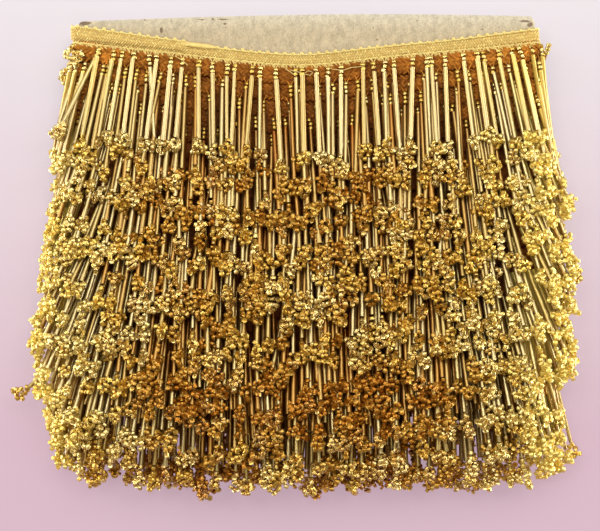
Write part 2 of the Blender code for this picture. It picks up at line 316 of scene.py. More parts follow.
class BeadTree(GroupSketch):
    """The node tree that threads seed beads, bugle beads and braid plaits on points."""

    INPUTS = (
        ("Geometry", "Geometry"),
        ("Seed Sides", "Int", 6),
        ("Bugle Sides", "Int", 8),
        ("Plait Sides", "Int", 5),
        ("Hole Depth", "Float", 0.8),
        ("Shoulder", "Float", 0.2),
        ("Bugle Hollow", "Float", 0.03),
        ("Size Spread", "Float", 0.06),
        ("Depth Falloff", "Float", 1.3),
        ("Seed", "Int", 5),
        ("Seed Material", "Material"),
        ("Bugle Material", "Material"),
    )
    FINE_RINGS = 4
    PLAIN_RINGS = 3
    POLE_LEVEL = 0.499
    SHOULDER_LEVEL = 0.2
    SHARP_EDGE = math.radians(64)

    def __init__(self) -> None:
        """Lays out the nodes."""
        super().__init__("Threaded Beads", "GeometryNodeTree", self.INPUTS, [("Geometry", "Geometry")])
        given = self.given
        sides = given["Seed Sides"]
        hole = given["Hole Depth"]
        shapes = {
            BeadKind.FINE_SEED: self._seed(sides, self.FINE_RINGS, hole, given["Shoulder"]),
            BeadKind.PLAIN_SEED: self._seed(sides, self.PLAIN_RINGS, hole),
            BeadKind.BUGLE: self._bugle(given["Bugle Sides"], given["Bugle Hollow"]),
            BeadKind.PLAIT: self._seed(given["Plait Sides"], self.FINE_RINGS, 0.0, smooth=True),
        }
        materials = {BeadKind.BUGLE: given["Bugle Material"]}
        axes = {
            "Primary Axis": self._named("bead_axis", "FLOAT_VECTOR"),
            "Secondary Axis": self._named("bead_facing", "FLOAT_VECTOR"),
        }
        rotation = self.out("FunctionNodeAxesToRotation", axes, primary_axis="Z", secondary_axis="Y")
        spreading = {
            "Min": self.minus(1.0, given["Size Spread"]),
            "Max": self.plus(1.0, given["Size Spread"]),
            "Seed": given["Seed"],
        }
        spread = self.out("FunctionNodeRandomValue", spreading, "Value", data_type="FLOAT")
        scale = self.scaled(self._named("bead_size", "FLOAT_VECTOR"), spread)
        kind = self._named("bead_kind", "INT")
        join = self.add("GeometryNodeJoinGeometry")
        for shape_kind, shape in shapes.items():
            kinds = {"A_INT": kind, "B_INT": int(shape_kind)}
            material = materials.get(shape_kind, given["Seed Material"])
            placing = {
                "Points": given["Geometry"],
                "Selection": self.out("FunctionNodeCompare", kinds, data_type="INT", operation="EQUAL"),
                "Instance": self.out("GeometryNodeSetMaterial", {"Geometry": shape, "Material": material}),
                "Rotation": rotation,
                "Scale": scale,
            }
            self.feed(join, {0: self.out("GeometryNodeInstanceOnPoints", placing)})
        real = self.out("GeometryNodeRealizeInstances", {"Geometry": join.outputs[0]})
        # Painted shade: each bead carries its depth, which fades along a bugle from its root end to its
        # lower end.
        above = self.minus(1.0, self._named("bead_along", "FLOAT"))
        falloff = self.math("POWER", above, given["Depth Falloff"])
        depth = self.times(self._named("bead_depth", "FLOAT"), falloff)
        self.give({"Geometry": self._store(real, "depth", depth)})

    def _named(self, name: str, kind: str) -> Socket:
        """Reads a named attribute of a data type."""
        return self.out("GeometryNodeInputNamedAttribute", {"Name": name}, data_type=kind)

    def _store(self, geometry: Socket, name: str, value: Socket) -> Socket:
        """Stores a named number on the points of a geometry."""
        inputs = {"Geometry": geometry, "Name": name, "Value": value}
        return self.out("GeometryNodeStoreNamedAttribute", inputs, data_type="FLOAT", domain="POINT")

    def _moved(self, geometry: Socket, x: Socket, y: Socket, z: Socket) -> Socket:
        """Moves the points of a geometry to new coordinates."""
        position = self.out("ShaderNodeCombineXYZ", {"X": x, "Y": y, "Z": z})
        return self.out("GeometryNodeSetPosition", {"Geometry": geometry, "Position": position})

    def _smooth(self, geometry: Socket) -> Socket:
        """Shades a geometry smooth all over."""
        return self.out("GeometryNodeSetShadeSmooth", {"Geometry": geometry, "Shade Smooth": True})

    def _seed(self, sides: Socket, rings: int, hole: Any, shoulder: Any = 0.0,
              smooth: bool = False) -> Socket:
        """Makes a round bead 1 wide and 1 long, with a funnel for its hole at each end.

        Args:
            sides: How many sides it has.
            rings: How many bands it has from end to end.
            hole: How deep its funnels are, as a share of its half length.
            shoulder: How far its shoulders are widened, as a share.
            smooth: Whether it is a soft tuft, with no hole and no rims.

        Returns:
            The bead's geometry.
        """
        ball = self.out("GeometryNodeMeshUVSphere", {"Segments": sides, "Rings": rings, "Radius": 0.5})
        parts = self.add("ShaderNodeSeparateXYZ", {"Vector": self.out("GeometryNodeInputPosition")}).outputs
        level = self.math("ABSOLUTE", parts["Z"])
        at_pole = self.math("GREATER_THAN", level, self.POLE_LEVEL)
        shrink = self.minus(1.0, self.times(at_pole, hole))
        at_shoulder = self.math("GREATER_THAN", level, self.SHOULDER_LEVEL)
        widen = self.plus(1.0, self.times(at_shoulder, shoulder))
        marked = ball if smooth else self._store(ball, "rim", self.times(level, 2.0))
        shaped = self._moved(
            marked,
            self.times(parts["X"], widen),
            self.times(parts["Y"], widen),
            self.times(parts["Z"], shrink),
        )
        return self._smooth(shaped) if smooth else self._rounded(shaped)

    def _bugle(self, sides: Socket, hollow: Socket) -> Socket:
        """Makes a tube bead 1 wide and 1 long, smooth round its sides and hollowed at its ends.

        Args:
            sides: How many sides it has.
            hollow: How deep its ends are hollowed, as a share of its half length.

        Returns:
            The bead's geometry.
        """
        size = {"Vertices": sides, "Radius": 0.5, "Depth": 1.0}
        tube = self.out("GeometryNodeMeshCylinder", size, "Mesh", fill_type="TRIANGLE_FAN")
        parts = self.add("ShaderNodeSeparateXYZ", {"Vector": self.out("GeometryNodeInputPosition")}).outputs
        sideways = self.math("ABSOLUTE", parts["X"])
        near_x = self.math("LESS_THAN", sideways, 0.01)
        near_y = self.math("LESS_THAN", self.math("ABSOLUTE", parts["Y"]), 0.01)
        centre = self.times(near_x, near_y)
        shrink = self.minus(1.0, self.times(centre, hollow))
        level = self.times(parts["Z"], shrink)
        shaped = self._moved(tube, parts["X"], parts["Y"], level)
        marked = self._store(shaped, "rim", self.times(sideways, 2.0))
        return self._rounded(self._store(marked, "bead_along", self.plus(parts["Z"], 0.5)))

    def _rounded(self, geometry: Socket) -> Socket:
        """Shades a bead smooth but for the rims of its hole.

        Args:
            geometry: The bead.

        Returns:
            The shaded bead.
        """
        corner = self.out("GeometryNodeInputMeshEdgeAngle", output="Unsigned Angle")
        rim = self.math("GREATER_THAN", corner, self.SHARP_EDGE)
        inputs = {"Geometry": self._smooth(geometry), "Selection": rim, "Shade Smooth": False}
        return self.out("GeometryNodeSetShadeSmooth", inputs, domain="EDGE")


class YarnTree(GroupSketch):
    """The node tree that gives edges a round yarn."""

    INPUTS = (
        ("Geometry", "Geometry"),
        ("Thickness", "Float", 0.5 * MM),
        ("Sides", "Int", 5),
        ("Material", "Material"),
    )

    def __init__(self) -> None:
        """Lays out the nodes."""
        super().__init__("Spun Yarn", "GeometryNodeTree", self.INPUTS, [("Geometry", "Geometry")])
        given = self.given
        path = self.out("GeometryNodeMeshToCurve", {"Mesh": given["Geometry"]})
        radius = self.times(given["Thickness"], 0.5)
        ring = self.out("GeometryNodeCurvePrimitiveCircle", {"Resolution": given["Sides"], "Radius": radius})
        sweep = {"Curve": path, "Profile Curve": ring, "Fill Caps": True}
        tube = self.out("GeometryNodeCurveToMesh", sweep)
        smooth = self.out("GeometryNodeSetShadeSmooth", {"Geometry": tube, "Shade Smooth": True})
        real = self.out("GeometryNodeRealizeInstances", {"Geometry": smooth})
        dressed = {"Geometry": real, "Material": given["Material"]}
        self.give({"Geometry": self.out("GeometryNodeSetMaterial", dressed)})


YARN_TONE = 0.85
HELPER_ATTRIBUTES = ("bead_axis", "bead_facing", "bead_size", "bead_kind", "bead_depth", "bead_along")


def run_nodes(name: str, source: Mesh, group: GroupSketch, inputs: dict[str, Any]) -> Mesh:
    """Runs a node tree on a mesh and gives the result as a plain mesh.

    Args:
        name: The result's name.
        source: The mesh that the tree starts from.
        group: The tree.
        inputs: The value of each named input.

    Returns:
        The plain mesh.
    """
    holder = add_object(name + "_source", source)
    modifier = holder.modifiers.new("Nodes", "NODES")
    modifier.node_group = group.tree
    for item in group.tree.interface.items_tree:
        if item.in_out == "INPUT" and item.name in inputs:
            modifier[item.identifier] = inputs[item.name]
    depsgraph = bpy.context.evaluated_depsgraph_get()
    result = bpy.data.meshes.new_from_object(holder.evaluated_get(depsgraph), depsgraph=depsgraph)
    bpy.data.objects.remove(holder)
    for label in HELPER_ATTRIBUTES:
        layer = result.attributes.get(label)
        if layer:
            result.attributes.remove(layer)
    result.name = name
    return result


def yarn_mesh(name: str, lines: Sequence[Line], closed: bool = False) -> Mesh:
    """Makes a mesh of edges along some lines.

    Args:
        name: The mesh's name.
        lines: The points along each line.
        closed: Whether each line ends where it starts.

    Returns:
        The mesh.
    """
    points: Line = []
    edges = []
    for line in lines:
        start = len(points)
        points.extend(line)
        last = len(points) - 1
        edges.extend((index, index + 1) for index in range(start, last))
        if closed:
            edges.append((last, start))
    mesh = bpy.data.meshes.new(name)
    mesh.from_pydata([tuple(point) for point in points], edges, [])
    mesh.attributes.new("tone", "FLOAT", "POINT").data.foreach_set("value", [YARN_TONE] * len(points))
    return mesh


def join_meshes(name: str, meshes: Sequence[Mesh]) -> bpy.types.Object:
    """Joins meshes into one object at the origin.

    Args:
        name: The object's name.
        meshes: The meshes, each with its own materials.

    Returns:
        The object.
    """
    parts = [add_object(name, mesh) for mesh in meshes]
    if len(parts) > 1:
        with bpy.context.temp_override(
            active_object=parts[0], object=parts[0], selected_objects=parts, selected_editable_objects=parts
        ):
            bpy.ops.object.join()
    parts[0].name = name
    return parts[0]


# ---- Finishes ----


class MaterialSketch(TreeSketch):
    """The node tree of one material, around its Principled BSDF."""

    def __init__(self, name: str) -> None:
        """Makes the material.

        Args:
            name: The material's name.
        """
        self.material = bpy.data.materials.new(name)
        self.material.use_nodes = True
        super().__init__(self.material.node_tree)
        self.place = self.out("ShaderNodeTexCoord", output="Object")

    def attribute(self, name: str) -> Socket:
        """Reads a number that the surface carries."""
        return self.out("ShaderNodeAttribute", output="Fac", attribute_name=name)

    def open_share(self, reach: float) -> Socket:
        """Finds how open a place is, from 0 in a crevice to 1 where nothing is within reach."""
        return self.out("ShaderNodeAmbientOcclusion", {"Distance": reach}, "AO", samples=4)

    def finish(self, inputs: dict[str, Any], height: Socket | None = None, strength: float = 0.0,
               relief: float = 0.0) -> Material:
        """Fills the shader's inputs.

        Args:
            inputs: What goes into each input.
            height: The height of the surface's relief, if it has any.
            strength: How strongly the relief shows.
            relief: How high it is.

        Returns:
            The material.
        """
        if height is not None:
            bump = {"Height": height, "Strength": strength, "Distance": relief}
            inputs = inputs | {"Normal": self.out("ShaderNodeBump", bump)}
        self.feed(self.tree.nodes["Principled BSDF"], inputs)
        return self.material


class SharedEffects:
    """Shader groups that more than one material uses."""

    LUSTRE_INPUTS = (
        ("Tone", "Float", 0.5),
        ("Shade", "Float", 1.0),
        ("Deep", "Color", (0.4, 0.2, 0.05, 1)),
        ("Middle", "Color", (0.7, 0.5, 0.15, 1)),
        ("Pale", "Color", (0.8, 0.7, 0.35, 1)),
        ("Smooth", "Float", 0.2),
        ("Rough", "Float", 0.35),
        ("Depth", "Float", 0.0),
        ("Hidden", "Color", (0.9, 0.5, 0.2, 1)),
    )
    FINE_SCALE = 5.3

    def __init__(self) -> None:
        """Builds each group."""
        self._mottle = self._build_mottle()
        self._lustre = self._build_lustre()

    def mottle(self, sketch: TreeSketch, place: Socket, scale: float, strength: float) -> Any:
        """Places uneven shading in a material, and gives its Shade, near 1, and its Height."""
        values = {"Vector": place, "Scale": scale, "Strength": strength}
        return sketch.add("ShaderNodeGroup", values, node_tree=self._mottle).outputs

    def lustre(self, sketch: TreeSketch, values: dict[str, Any]) -> Any:
        """Places the gold of lined glass, with painted shade by depth, in a material, and gives its Colour
        and Roughness.
        """
        return sketch.add("ShaderNodeGroup", values, node_tree=self._lustre).outputs

    def _build_mottle(self) -> bpy.types.NodeTree:
        """Builds uneven shading from two scales of noise.

        Returns:
            The group.
        """
        inputs = (("Vector", "Vector"), ("Scale", "Float", 400.0), ("Strength", "Float", 0.2))
        sketch = GroupSketch("Mottle", "ShaderNodeTree", inputs, (("Shade", "Float"), ("Height", "Float")))
        given = sketch.given
        values = {"Vector": given["Vector"], "Detail": 2.0, "Roughness": 0.6}
        coarse, fine = (
            sketch.out("ShaderNodeTexNoise", values | {"Scale": scale})
            for scale in (given["Scale"], sketch.times(given["Scale"], self.FINE_SCALE))
        )
        height = sketch.times(sketch.plus(coarse, fine), 0.5)
        offset = sketch.times(sketch.minus(height, 0.5), given["Strength"])
        shade = sketch.plus(sketch.times(offset, 2.0), 1.0)
        sketch.give({"Shade": shade, "Height": height})
        return sketch.tree

    def _build_lustre(self) -> bpy.types.NodeTree:
        """Builds the gold of lined glass, from a bead's tone, an uneven lining and painted shade by its
        depth.

        Returns:
            The group.
        """
        outputs = (("Colour", "Color"), ("Roughness", "Float"))
        sketch = GroupSketch("Lined Gold", "ShaderNodeTree", self.LUSTRE_INPUTS, outputs)
        given = sketch.given
        twice = sketch.times(given["Tone"], 2.0)
        low = sketch.smaller(twice, 1.0)
        high = sketch.larger(sketch.minus(twice, 1.0), 0.0)
        gold = sketch.mix(high, sketch.mix(low, given["Deep"], given["Middle"]), given["Pale"])
        # Painted shade: the Hidden tint is multiplied in by the Depth.
        sunk = sketch.mix(given["Depth"], gold, given["Hidden"], blend_type="MULTIPLY")
        ends = {"Factor_Float": given["Tone"], "A_Float": given["Rough"], "B_Float": given["Smooth"]}
        roughness = sketch.out("ShaderNodeMix", ends, "Result_Float", data_type="FLOAT")
        sketch.give({"Colour": sketch.scaled(sunk, given["Shade"]), "Roughness": roughness})
        return sketch.tree


@dataclass(frozen=True)
class GoldBeadFinish:
    """Glass beads lined with gold: a gold mirror under clear glass, with painted shade, redder deep in the
    pile.

    A bead's depth is over 0 where it is sunk in the pile, which sets its painted shade, and below 0
    where light comes through, which sets its painted light and painted glow. Its rim goes from 0 at
    its belt to 1 inside its hole, or at its sides if it is a bugle; painted shade can darken its belt
    and rim, and a painted highlight lightens its crest.
    """

    name: str
    deep: Colour
    middle: Colour
    pale: Colour
    smooth: float
    rough: float
    # Painted shade: the tint that beads take on by their depth in the pile.
    hidden: Colour = (0.54, 0.24, 0.03, 1)
    depth_share: float = 0.75
    # Painted shade in crevices: how far the occlusion looks, and how dark it makes them.
    crevice: float = 1.7 * MM
    crevice_open: Pair = (0.1, 0.62)
    crevice_depth: float = 0.65
    # Painted light where light comes through at the pile's sides: a paler colour, a painted glow, clearer
    # and less metallic glass.
    lit: Colour = (0.92, 0.72, 0.14, 1)
    lit_glow: float = 0.12
    lit_clearing: float = 0.38
    lit_dulling: float = 0.5
    # Painted shade round a bead's belt and inside its rim, and a painted highlight along its crest.
    belt: Pair = (0.30, 0.25)
    belt_depth: float = 0.15
    crest: Pair = (0.72, 0.16)
    crest_lift: float = 0.25
    rim_start: float = 0.82
    rim_depth: float = 1.0
    metallic: float = 0.7
    coat: float = 0.4
    coat_roughness: float = 0.2
    mottle_scale: float = 900.0
    mottle_strength: float = 0.35
    ripple: float = 0.12
    ripple_height: float = 0.2 * MM

    def build(self, effects: SharedEffects) -> Material:
        """Makes the material.

        Args:
            effects: The shared shader groups.

        Returns:
            The material.
        """
        sketch = MaterialSketch(self.name)
        mottle = effects.mottle(sketch, sketch.place, self.mottle_scale, self.mottle_strength)
        tone = sketch.attribute("tone")
        depth = sketch.attribute("depth")
        rim = sketch.attribute("rim")
        # Painted shade from depth and crevices, less where painted light comes through.
        open_share = sketch.open_share(self.crevice)
        crevice = sketch.remap(open_share, self.crevice_open, (self.crevice_depth, 0.0))
        shaded = sketch.larger(sketch.times(depth, self.depth_share), crevice)
        through = sketch.larger(sketch.times(depth, -1.0), 0.0)
        # Painted shade round the belt, and a painted highlight on the crest.
        belt = sketch.times(self._ring(sketch, rim, *self.belt), self.belt_depth)
        crest = sketch.times(self._ring(sketch, rim, *self.crest), self.crest_lift)
        # Painted shade inside a seed's hole, or at a bugle's sides.
        hole = sketch.remap(rim, (self.rim_start, 1.0), (0.0, self.rim_depth))
        lighter = sketch.plus(sketch.times(through, self.lit_clearing), crest)
        around = sketch.minus(sketch.plus(shaded, belt), lighter)
        around = sketch.larger(around, hole)
        sunk = sketch.smaller(sketch.larger(around, 0.0), 1.0)
        values = {
            "Tone": sketch.smaller(sketch.plus(tone, crest), 1.0),
            "Shade": mottle["Shade"],
            "Deep": self.deep,
            "Middle": self.middle,
            "Pale": self.pale,
            "Smooth": self.smooth,
            "Rough": self.rough,
            "Depth": sunk,
            "Hidden": self.hidden,
        }
        lustre = effects.lustre(sketch, values)
        dulling = sketch.times(through, self.lit_dulling)
        # Painted light: the lit colour and a painted glow where light comes through; the coat fades in
        # painted shade.
        inputs = {
            "Base Color": sketch.mix(through, lustre["Colour"], self.lit),
            "Roughness": lustre["Roughness"],
            "Metallic": sketch.times(sketch.minus(1.0, dulling), self.metallic),
            "Coat Weight": sketch.times(sketch.minus(1.0, sunk), self.coat),
            "Coat Roughness": self.coat_roughness,
            "Emission Color": sketch.scaled(self.lit[:3], sketch.times(through, self.lit_glow)),
            "Emission Strength": 1.0,
        }
        return sketch.finish(inputs, mottle["Height"], self.ripple, self.ripple_height)

    @staticmethod
    def _ring(sketch: TreeSketch, rim: Socket, place: float, reach: float) -> Socket:
        """Makes a mask that is 1 along a ring round a bead and falls off beside it."""
        away = sketch.math("DIVIDE", sketch.math("ABSOLUTE", sketch.minus(rim, place)), reach)
        return sketch.larger(sketch.minus(1.0, away), 0.0)


@dataclass(frozen=True)
class YarnFinish:
    """Rayon yarn: soft, with a low lustre and fine uneven fibres, and painted shade deep in its folds."""

    name: str
    deep: Colour
    colour: Colour
    roughness: float = 0.55
    sheen: float = 0.25
    shine: float = 0.4
    mottle_scale: float = 700.0
    mottle_strength: float = 0.5
    blotch_scale: float = 60.0
    blotch_strength: float = 0.1
    ripple: float = 0.5
    ripple_height: float = 0.3 * MM
    # Painted shade: how far the occlusion looks, and how open a place must be to escape it.
    crevice: float = 0.8 * MM
    crevice_open: Pair = (0.0, 0.55)

    def build(self, effects: SharedEffects) -> Material:
        """Makes the material.

        Args:
            effects: The shared shader groups.

        Returns:
            The material.
        """
        sketch = MaterialSketch(self.name)
        mottle = effects.mottle(sketch, sketch.place, self.mottle_scale, self.mottle_strength)
        blotch = effects.mottle(sketch, sketch.place, self.blotch_scale, self.blotch_strength)
        shade = sketch.times(mottle["Shade"], blotch["Shade"])
        # Painted shade: the tone falls to the deep colour in crevices.
        raised = sketch.remap(sketch.open_share(self.crevice), self.crevice_open)
        share = sketch.times(sketch.attribute("tone"), raised)
        inputs = {
            "Base Color": sketch.scaled(sketch.mix(share, self.deep, self.colour), shade),
            "Roughness": self.roughness,
            "Sheen Weight": self.sheen,
            "Specular IOR Level": self.shine,
        }
        return sketch.finish(inputs, mottle["Height"], self.ripple, self.ripple_height)


@dataclass(frozen=True)
class WornSpot:
    """A dark, frayed spot on the card: its middle and its half width and height."""

    place: Pair
    reach: Pair


@dataclass(frozen=True)
class BoardFinish:
    """Greyboard: pressed paper pulp with specks, pale with painted light along its bare edge, and frayed
    there.
    """

    name: str
    colour: Colour
    # Painted light: the paler colour that the board takes on towards its bare edge.
    lit_edge_colour: Colour
    speck_colour: Colour
    bare_edge: float
    spots: tuple[WornSpot, ...]
    lit_edge_reach: float = 12 * MM
    fibre_stretch: float = 1.6
    mottle_scale: float = 190.0
    mottle_strength: float = 0.8
    speck_scale: float = 620.0
    speck_range: Pair = (0.64, 0.70)
    speck_strength: float = 0.7
    fray_scale: float = 900.0
    fray_reach: float = 1.4 * MM
    fray_fade: float = 0.75
    fray_strength: float = 0.8
    # Painted shade near the braid: how far the occlusion looks.
    crevice: float = 2.2 * MM
    roughness: float = 0.85
    relief: float = 0.35
    relief_height: float = 0.4 * MM

    def build(self, effects: SharedEffects) -> Material:
        """Makes the material.

        Args:
            effects: The shared shader groups.

        Returns:
            The material.
        """
        sketch = MaterialSketch(self.name)
        place = sketch.place
        stretch = {"Vector": place, "Scale": (self.fibre_stretch, 1.0, 1.0)}
        stretched = sketch.out("ShaderNodeMapping", stretch)
        mottle = effects.mottle(sketch, stretched, self.mottle_scale, self.mottle_strength)
        # Painted light: the board is paler towards its bare edge.
        edge = (self.bare_edge - self.lit_edge_reach, self.bare_edge)
        from_edge = sketch.remap(sketch.coordinate(place, "Y"), edge)
        edge_light_share = sketch.times(from_edge, from_edge)
        edge_lit_colour = sketch.mix(edge_light_share, self.colour, self.lit_edge_colour)
        # Painted shade: darker where the braid lies close, found by occlusion.
        open_share = sketch.math("POWER", sketch.open_share(self.crevice), 0.5)
        base = sketch.scaled(edge_lit_colour, sketch.times(mottle["Shade"], open_share))
        speckling = {"Vector": stretched, "Scale": self.speck_scale, "Detail": 3.0, "Roughness": 0.7}
        specks = sketch.out("ShaderNodeTexNoise", speckling)
        mask = sketch.remap(specks, self.speck_range, (0.0, self.speck_strength))
        for spot in self.spots:
            mask = sketch.larger(mask, self._spot_mask(sketch, spot))
        inputs = {"Base Color": sketch.mix(mask, base, self.speck_colour), "Roughness": self.roughness}
        return sketch.finish(inputs, mottle["Height"], self.relief, self.relief_height)

    def _spot_mask(self, sketch: MaterialSketch, spot: WornSpot) -> Socket:
        """Makes a ragged mask round a worn spot.

        Args:
            sketch: The material's tree.
            spot: The spot.

        Returns:
            The mask.
        """
        noise_inputs = {"Vector": sketch.place, "Scale": self.fray_scale, "Detail": 3.0}
        frayed = sketch.out("ShaderNodeTexNoise", noise_inputs, "Color")
        pulled = sketch.scaled(frayed, self.fray_reach)
        moved = sketch.out("ShaderNodeVectorMath", {0: sketch.place, 1: pulled}, operation="ADD")
        mean_pull = self.fray_reach / 2
        location = [-(middle + mean_pull) / reach for middle, reach in zip(spot.place, spot.reach)]
        scale = [1 / reach for reach in spot.reach]
        centring = {"Vector": moved, "Location": (*location, 0.0), "Scale": (*scale, 0.0)}
        centred = sketch.out("ShaderNodeMapping", centring)
        distance = sketch.out("ShaderNodeVectorMath", {"Vector": centred}, "Value", operation="LENGTH")
        return sketch.remap(distance, (self.fray_fade, 1.0), (self.fray_strength, 0.0))


# ---- The form that everything lies on ----


@dataclass(frozen=True)
class Station:
    """A place round the card, seen from its end.

    along is measured from the card's middle towards the end on that side, 1 for right and -1 for
    left, and angle turns from the front face, 0, round the end to the back face, pi.
    """

    along: float
    side: int
    angle: float

    def outward(self) -> Vector:
        """Gives the way that the card's surface faces here."""
        return Vector((self.side * math.sin(self.angle), 0, math.cos(self.angle)))


@dataclass(frozen=True)
class WoundForm:
    """Where braid and strands lie: from a run, a drop and a height to a place."""

    centre_x: float
    braid_y: float
    card_level: float
    card_width: float = 222 * MM
    card_thickness: float = 3 * MM
    end_tuck: float = 0.5 * MM
    sag: float = 12 * MM
    sag_round: float = 19 * MM
    taut_lift: float = 1.3 * MM
    taut_place: float = 34 * MM
    taut_reach: float = 34 * MM
    face_press: float = 0.88
    hem_start: float = 165 * MM
    hem_length: float = 47 * MM
    hem_droop: float = 0.42
    fan_power: float = 3

    @classmethod
    def from_frame(cls, card_above_braid: float = 10.3 * MM) -> "WoundForm":
        """Finds the form from the card's node and its bare strip above the top braid."""
        low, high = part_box("card")
        return cls((low[0] + high[0]) / 2, high[1] - card_above_braid, (low[2] + high[2]) / 2)

    @property
    def card_half(self) -> float:
        """Half of the card's thickness."""
        return self.card_thickness / 2

    @property
    def core_half(self) -> float:
        """How far the flat stretch of a turn reaches from the middle."""
        return self.card_width / 2 - self.end_tuck

    def braid_sag(self, x: float) -> float:
        """How far the braid hangs below its ends, at a distance from the card's middle.

        Args:
            x: The distance from the card's middle.

        Returns:
            The distance that it hangs.
        """
        half = self.card_width / 2
        reach = math.hypot(half, self.sag_round) - self.sag_round
        away = math.hypot(min(abs(x), half), self.sag_round) - self.sag_round
        taut = self.taut_lift * math.exp(-(((x - self.taut_place) / self.taut_reach) ** 2))
        return self.sag * (1 - away / reach) - taut

    def quarter_run(self, height: float) -> float:
        """The run from the middle of a face to the middle of an end, at a height."""
        return self.core_half + math.pi / 2 * (self.card_half + height)

    def station(self, run: float, height: float) -> Station:
        """Finds the place round the card for a run, positive to the right, at a height.

        Args:
            run: The run.
            height: The height.

        Returns:
            The place.
        """
        radius = self.card_half + height
        side = 1 if run >= 0 else -1
        past_face = max(abs(run) - self.core_half, 0)
        angle = min(past_face / radius, math.pi)
        back = max(past_face - math.pi * radius, 0)
        return Station(min(abs(run), self.core_half) - back, side, angle)

    def place(self, station: Station, drop: float, height: float) -> Vector:
        """Finds a point in the frame.

        Args:
            station: Where it is round the card.
            drop: How far it is below the top braid.
            height: How far out it is from the card's surface.

        Returns:
            The point.
        """
        x = station.side * (station.along + (self.card_half + height) * math.sin(station.angle))
        level = self.card_level
        level += math.cos(station.angle) * (self.card_half + height * self.face_press)
        level *= 1 - self.hem_droop * limited((drop - self.hem_start) / self.hem_length) ** 2
        return Vector((self.centre_x + x, self.braid_y - drop - self.braid_sag(x), max(level, 0)))

    def root_run(self, tip_run: float, tip_height: float, root_height: float) -> float:
        """Finds the run of a strand's root from that of its tip, which fans out past the ends.

        Args:
            tip_run: The tip's run.
            tip_height: The tip's height.
            root_height: The root's height.

        Returns:
            The root's run.
        """
        tip_quarter = self.quarter_run(tip_height)
        root_quarter = self.quarter_run(root_height)
        from_end = abs(tip_run) - tip_quarter
        gathered = 1 - (1 - min(abs(from_end) / tip_quarter, 1)) ** self.fan_power
        root_from_end = abs(from_end) - (tip_quarter - root_quarter) * gathered
        return math.copysign(root_quarter + math.copysign(root_from_end, from_end), tip_run)


# ---- The fringe's strands ----


@dataclass
class Strand:
    """One strand: from its root in the braid over a knee to the middle of its cluster."""

    root: Vector
    knee: Vector
    tip: Vector
    outward: Vector
    turn: int
    fine: bool
    tone: float
    # depth sets a strand's painted shade, and through its painted light from beside the pile.
    depth: float = 0.0
    filler: bool = False
    through: float = 0.0

    def fall(self) -> Vector:
        """Gives the way that it hangs below its knee."""
        return (self.tip - self.knee).normalized()


@dataclass(frozen=True)
class ShadeBand:
    """A band round the roll that more or less of the light misses."""

    drop: float
    reach: float
    shade: float


@dataclass(frozen=True)
class UnevenOutline:
    """How far the fringe bulges past its even sides and hangs past its even hem."""

    side_drops: tuple[float, ...]
    left: tuple[float, ...]
    right: tuple[float, ...]
    hem_places: tuple[float, ...]
    hem: tuple[float, ...]

    @classmethod
    def in_millimetres(cls, sides: Sequence[Triple], hem: Sequence[Pair]) -> "UnevenOutline":
        """Makes it from rows in millimetres: a drop and both sides, and a place and its hem."""
        columns = [*zip(*sides), *zip(*hem)]
        return cls(*(tuple(value * MM for value in column) for column in columns))


OUTLINE = UnevenOutline.in_millimetres(
    sides=(
        (44, -1.6, -3.4), (56, 1.4, -3.8), (68, -3.4, 0.3), (80, -0.6, 4.0), (92, -1.1, -0.4),
        (104, 0.6, 4.6), (118, 0.2, 2.5), (130, 0.8, 1.0), (141, 4.0, -1.5), (151, 4.4, 4.2),
        (160, 0.6, 1.8), (168, 3.2, -8.0), (180, -0.8, -5.9), (192, -6.3, -4.2), (204, 1.8, 4.9),
        (211, -7.0, -3.8), (217, -8.0, -6.6),
    ),
    hem=(
        (-118, -4.0), (-108, 4.0), (-93, -3.0), (-71, 5.5), (-56, -6.0), (-49, 2.0), (-41, -4.5),
        (-32, 7.0), (-21, -1.0), (-7, 6.0), (5, 8.0), (14, -7.0), (26, 1.5), (36, -1.0), (41, 3.0),
        (55, -5.5), (65, 3.0), (72, -2.0), (80, 3.0), (93, -2.0), (112, 2.0), (123, -6.0), (131, -3.0),
    ),
)


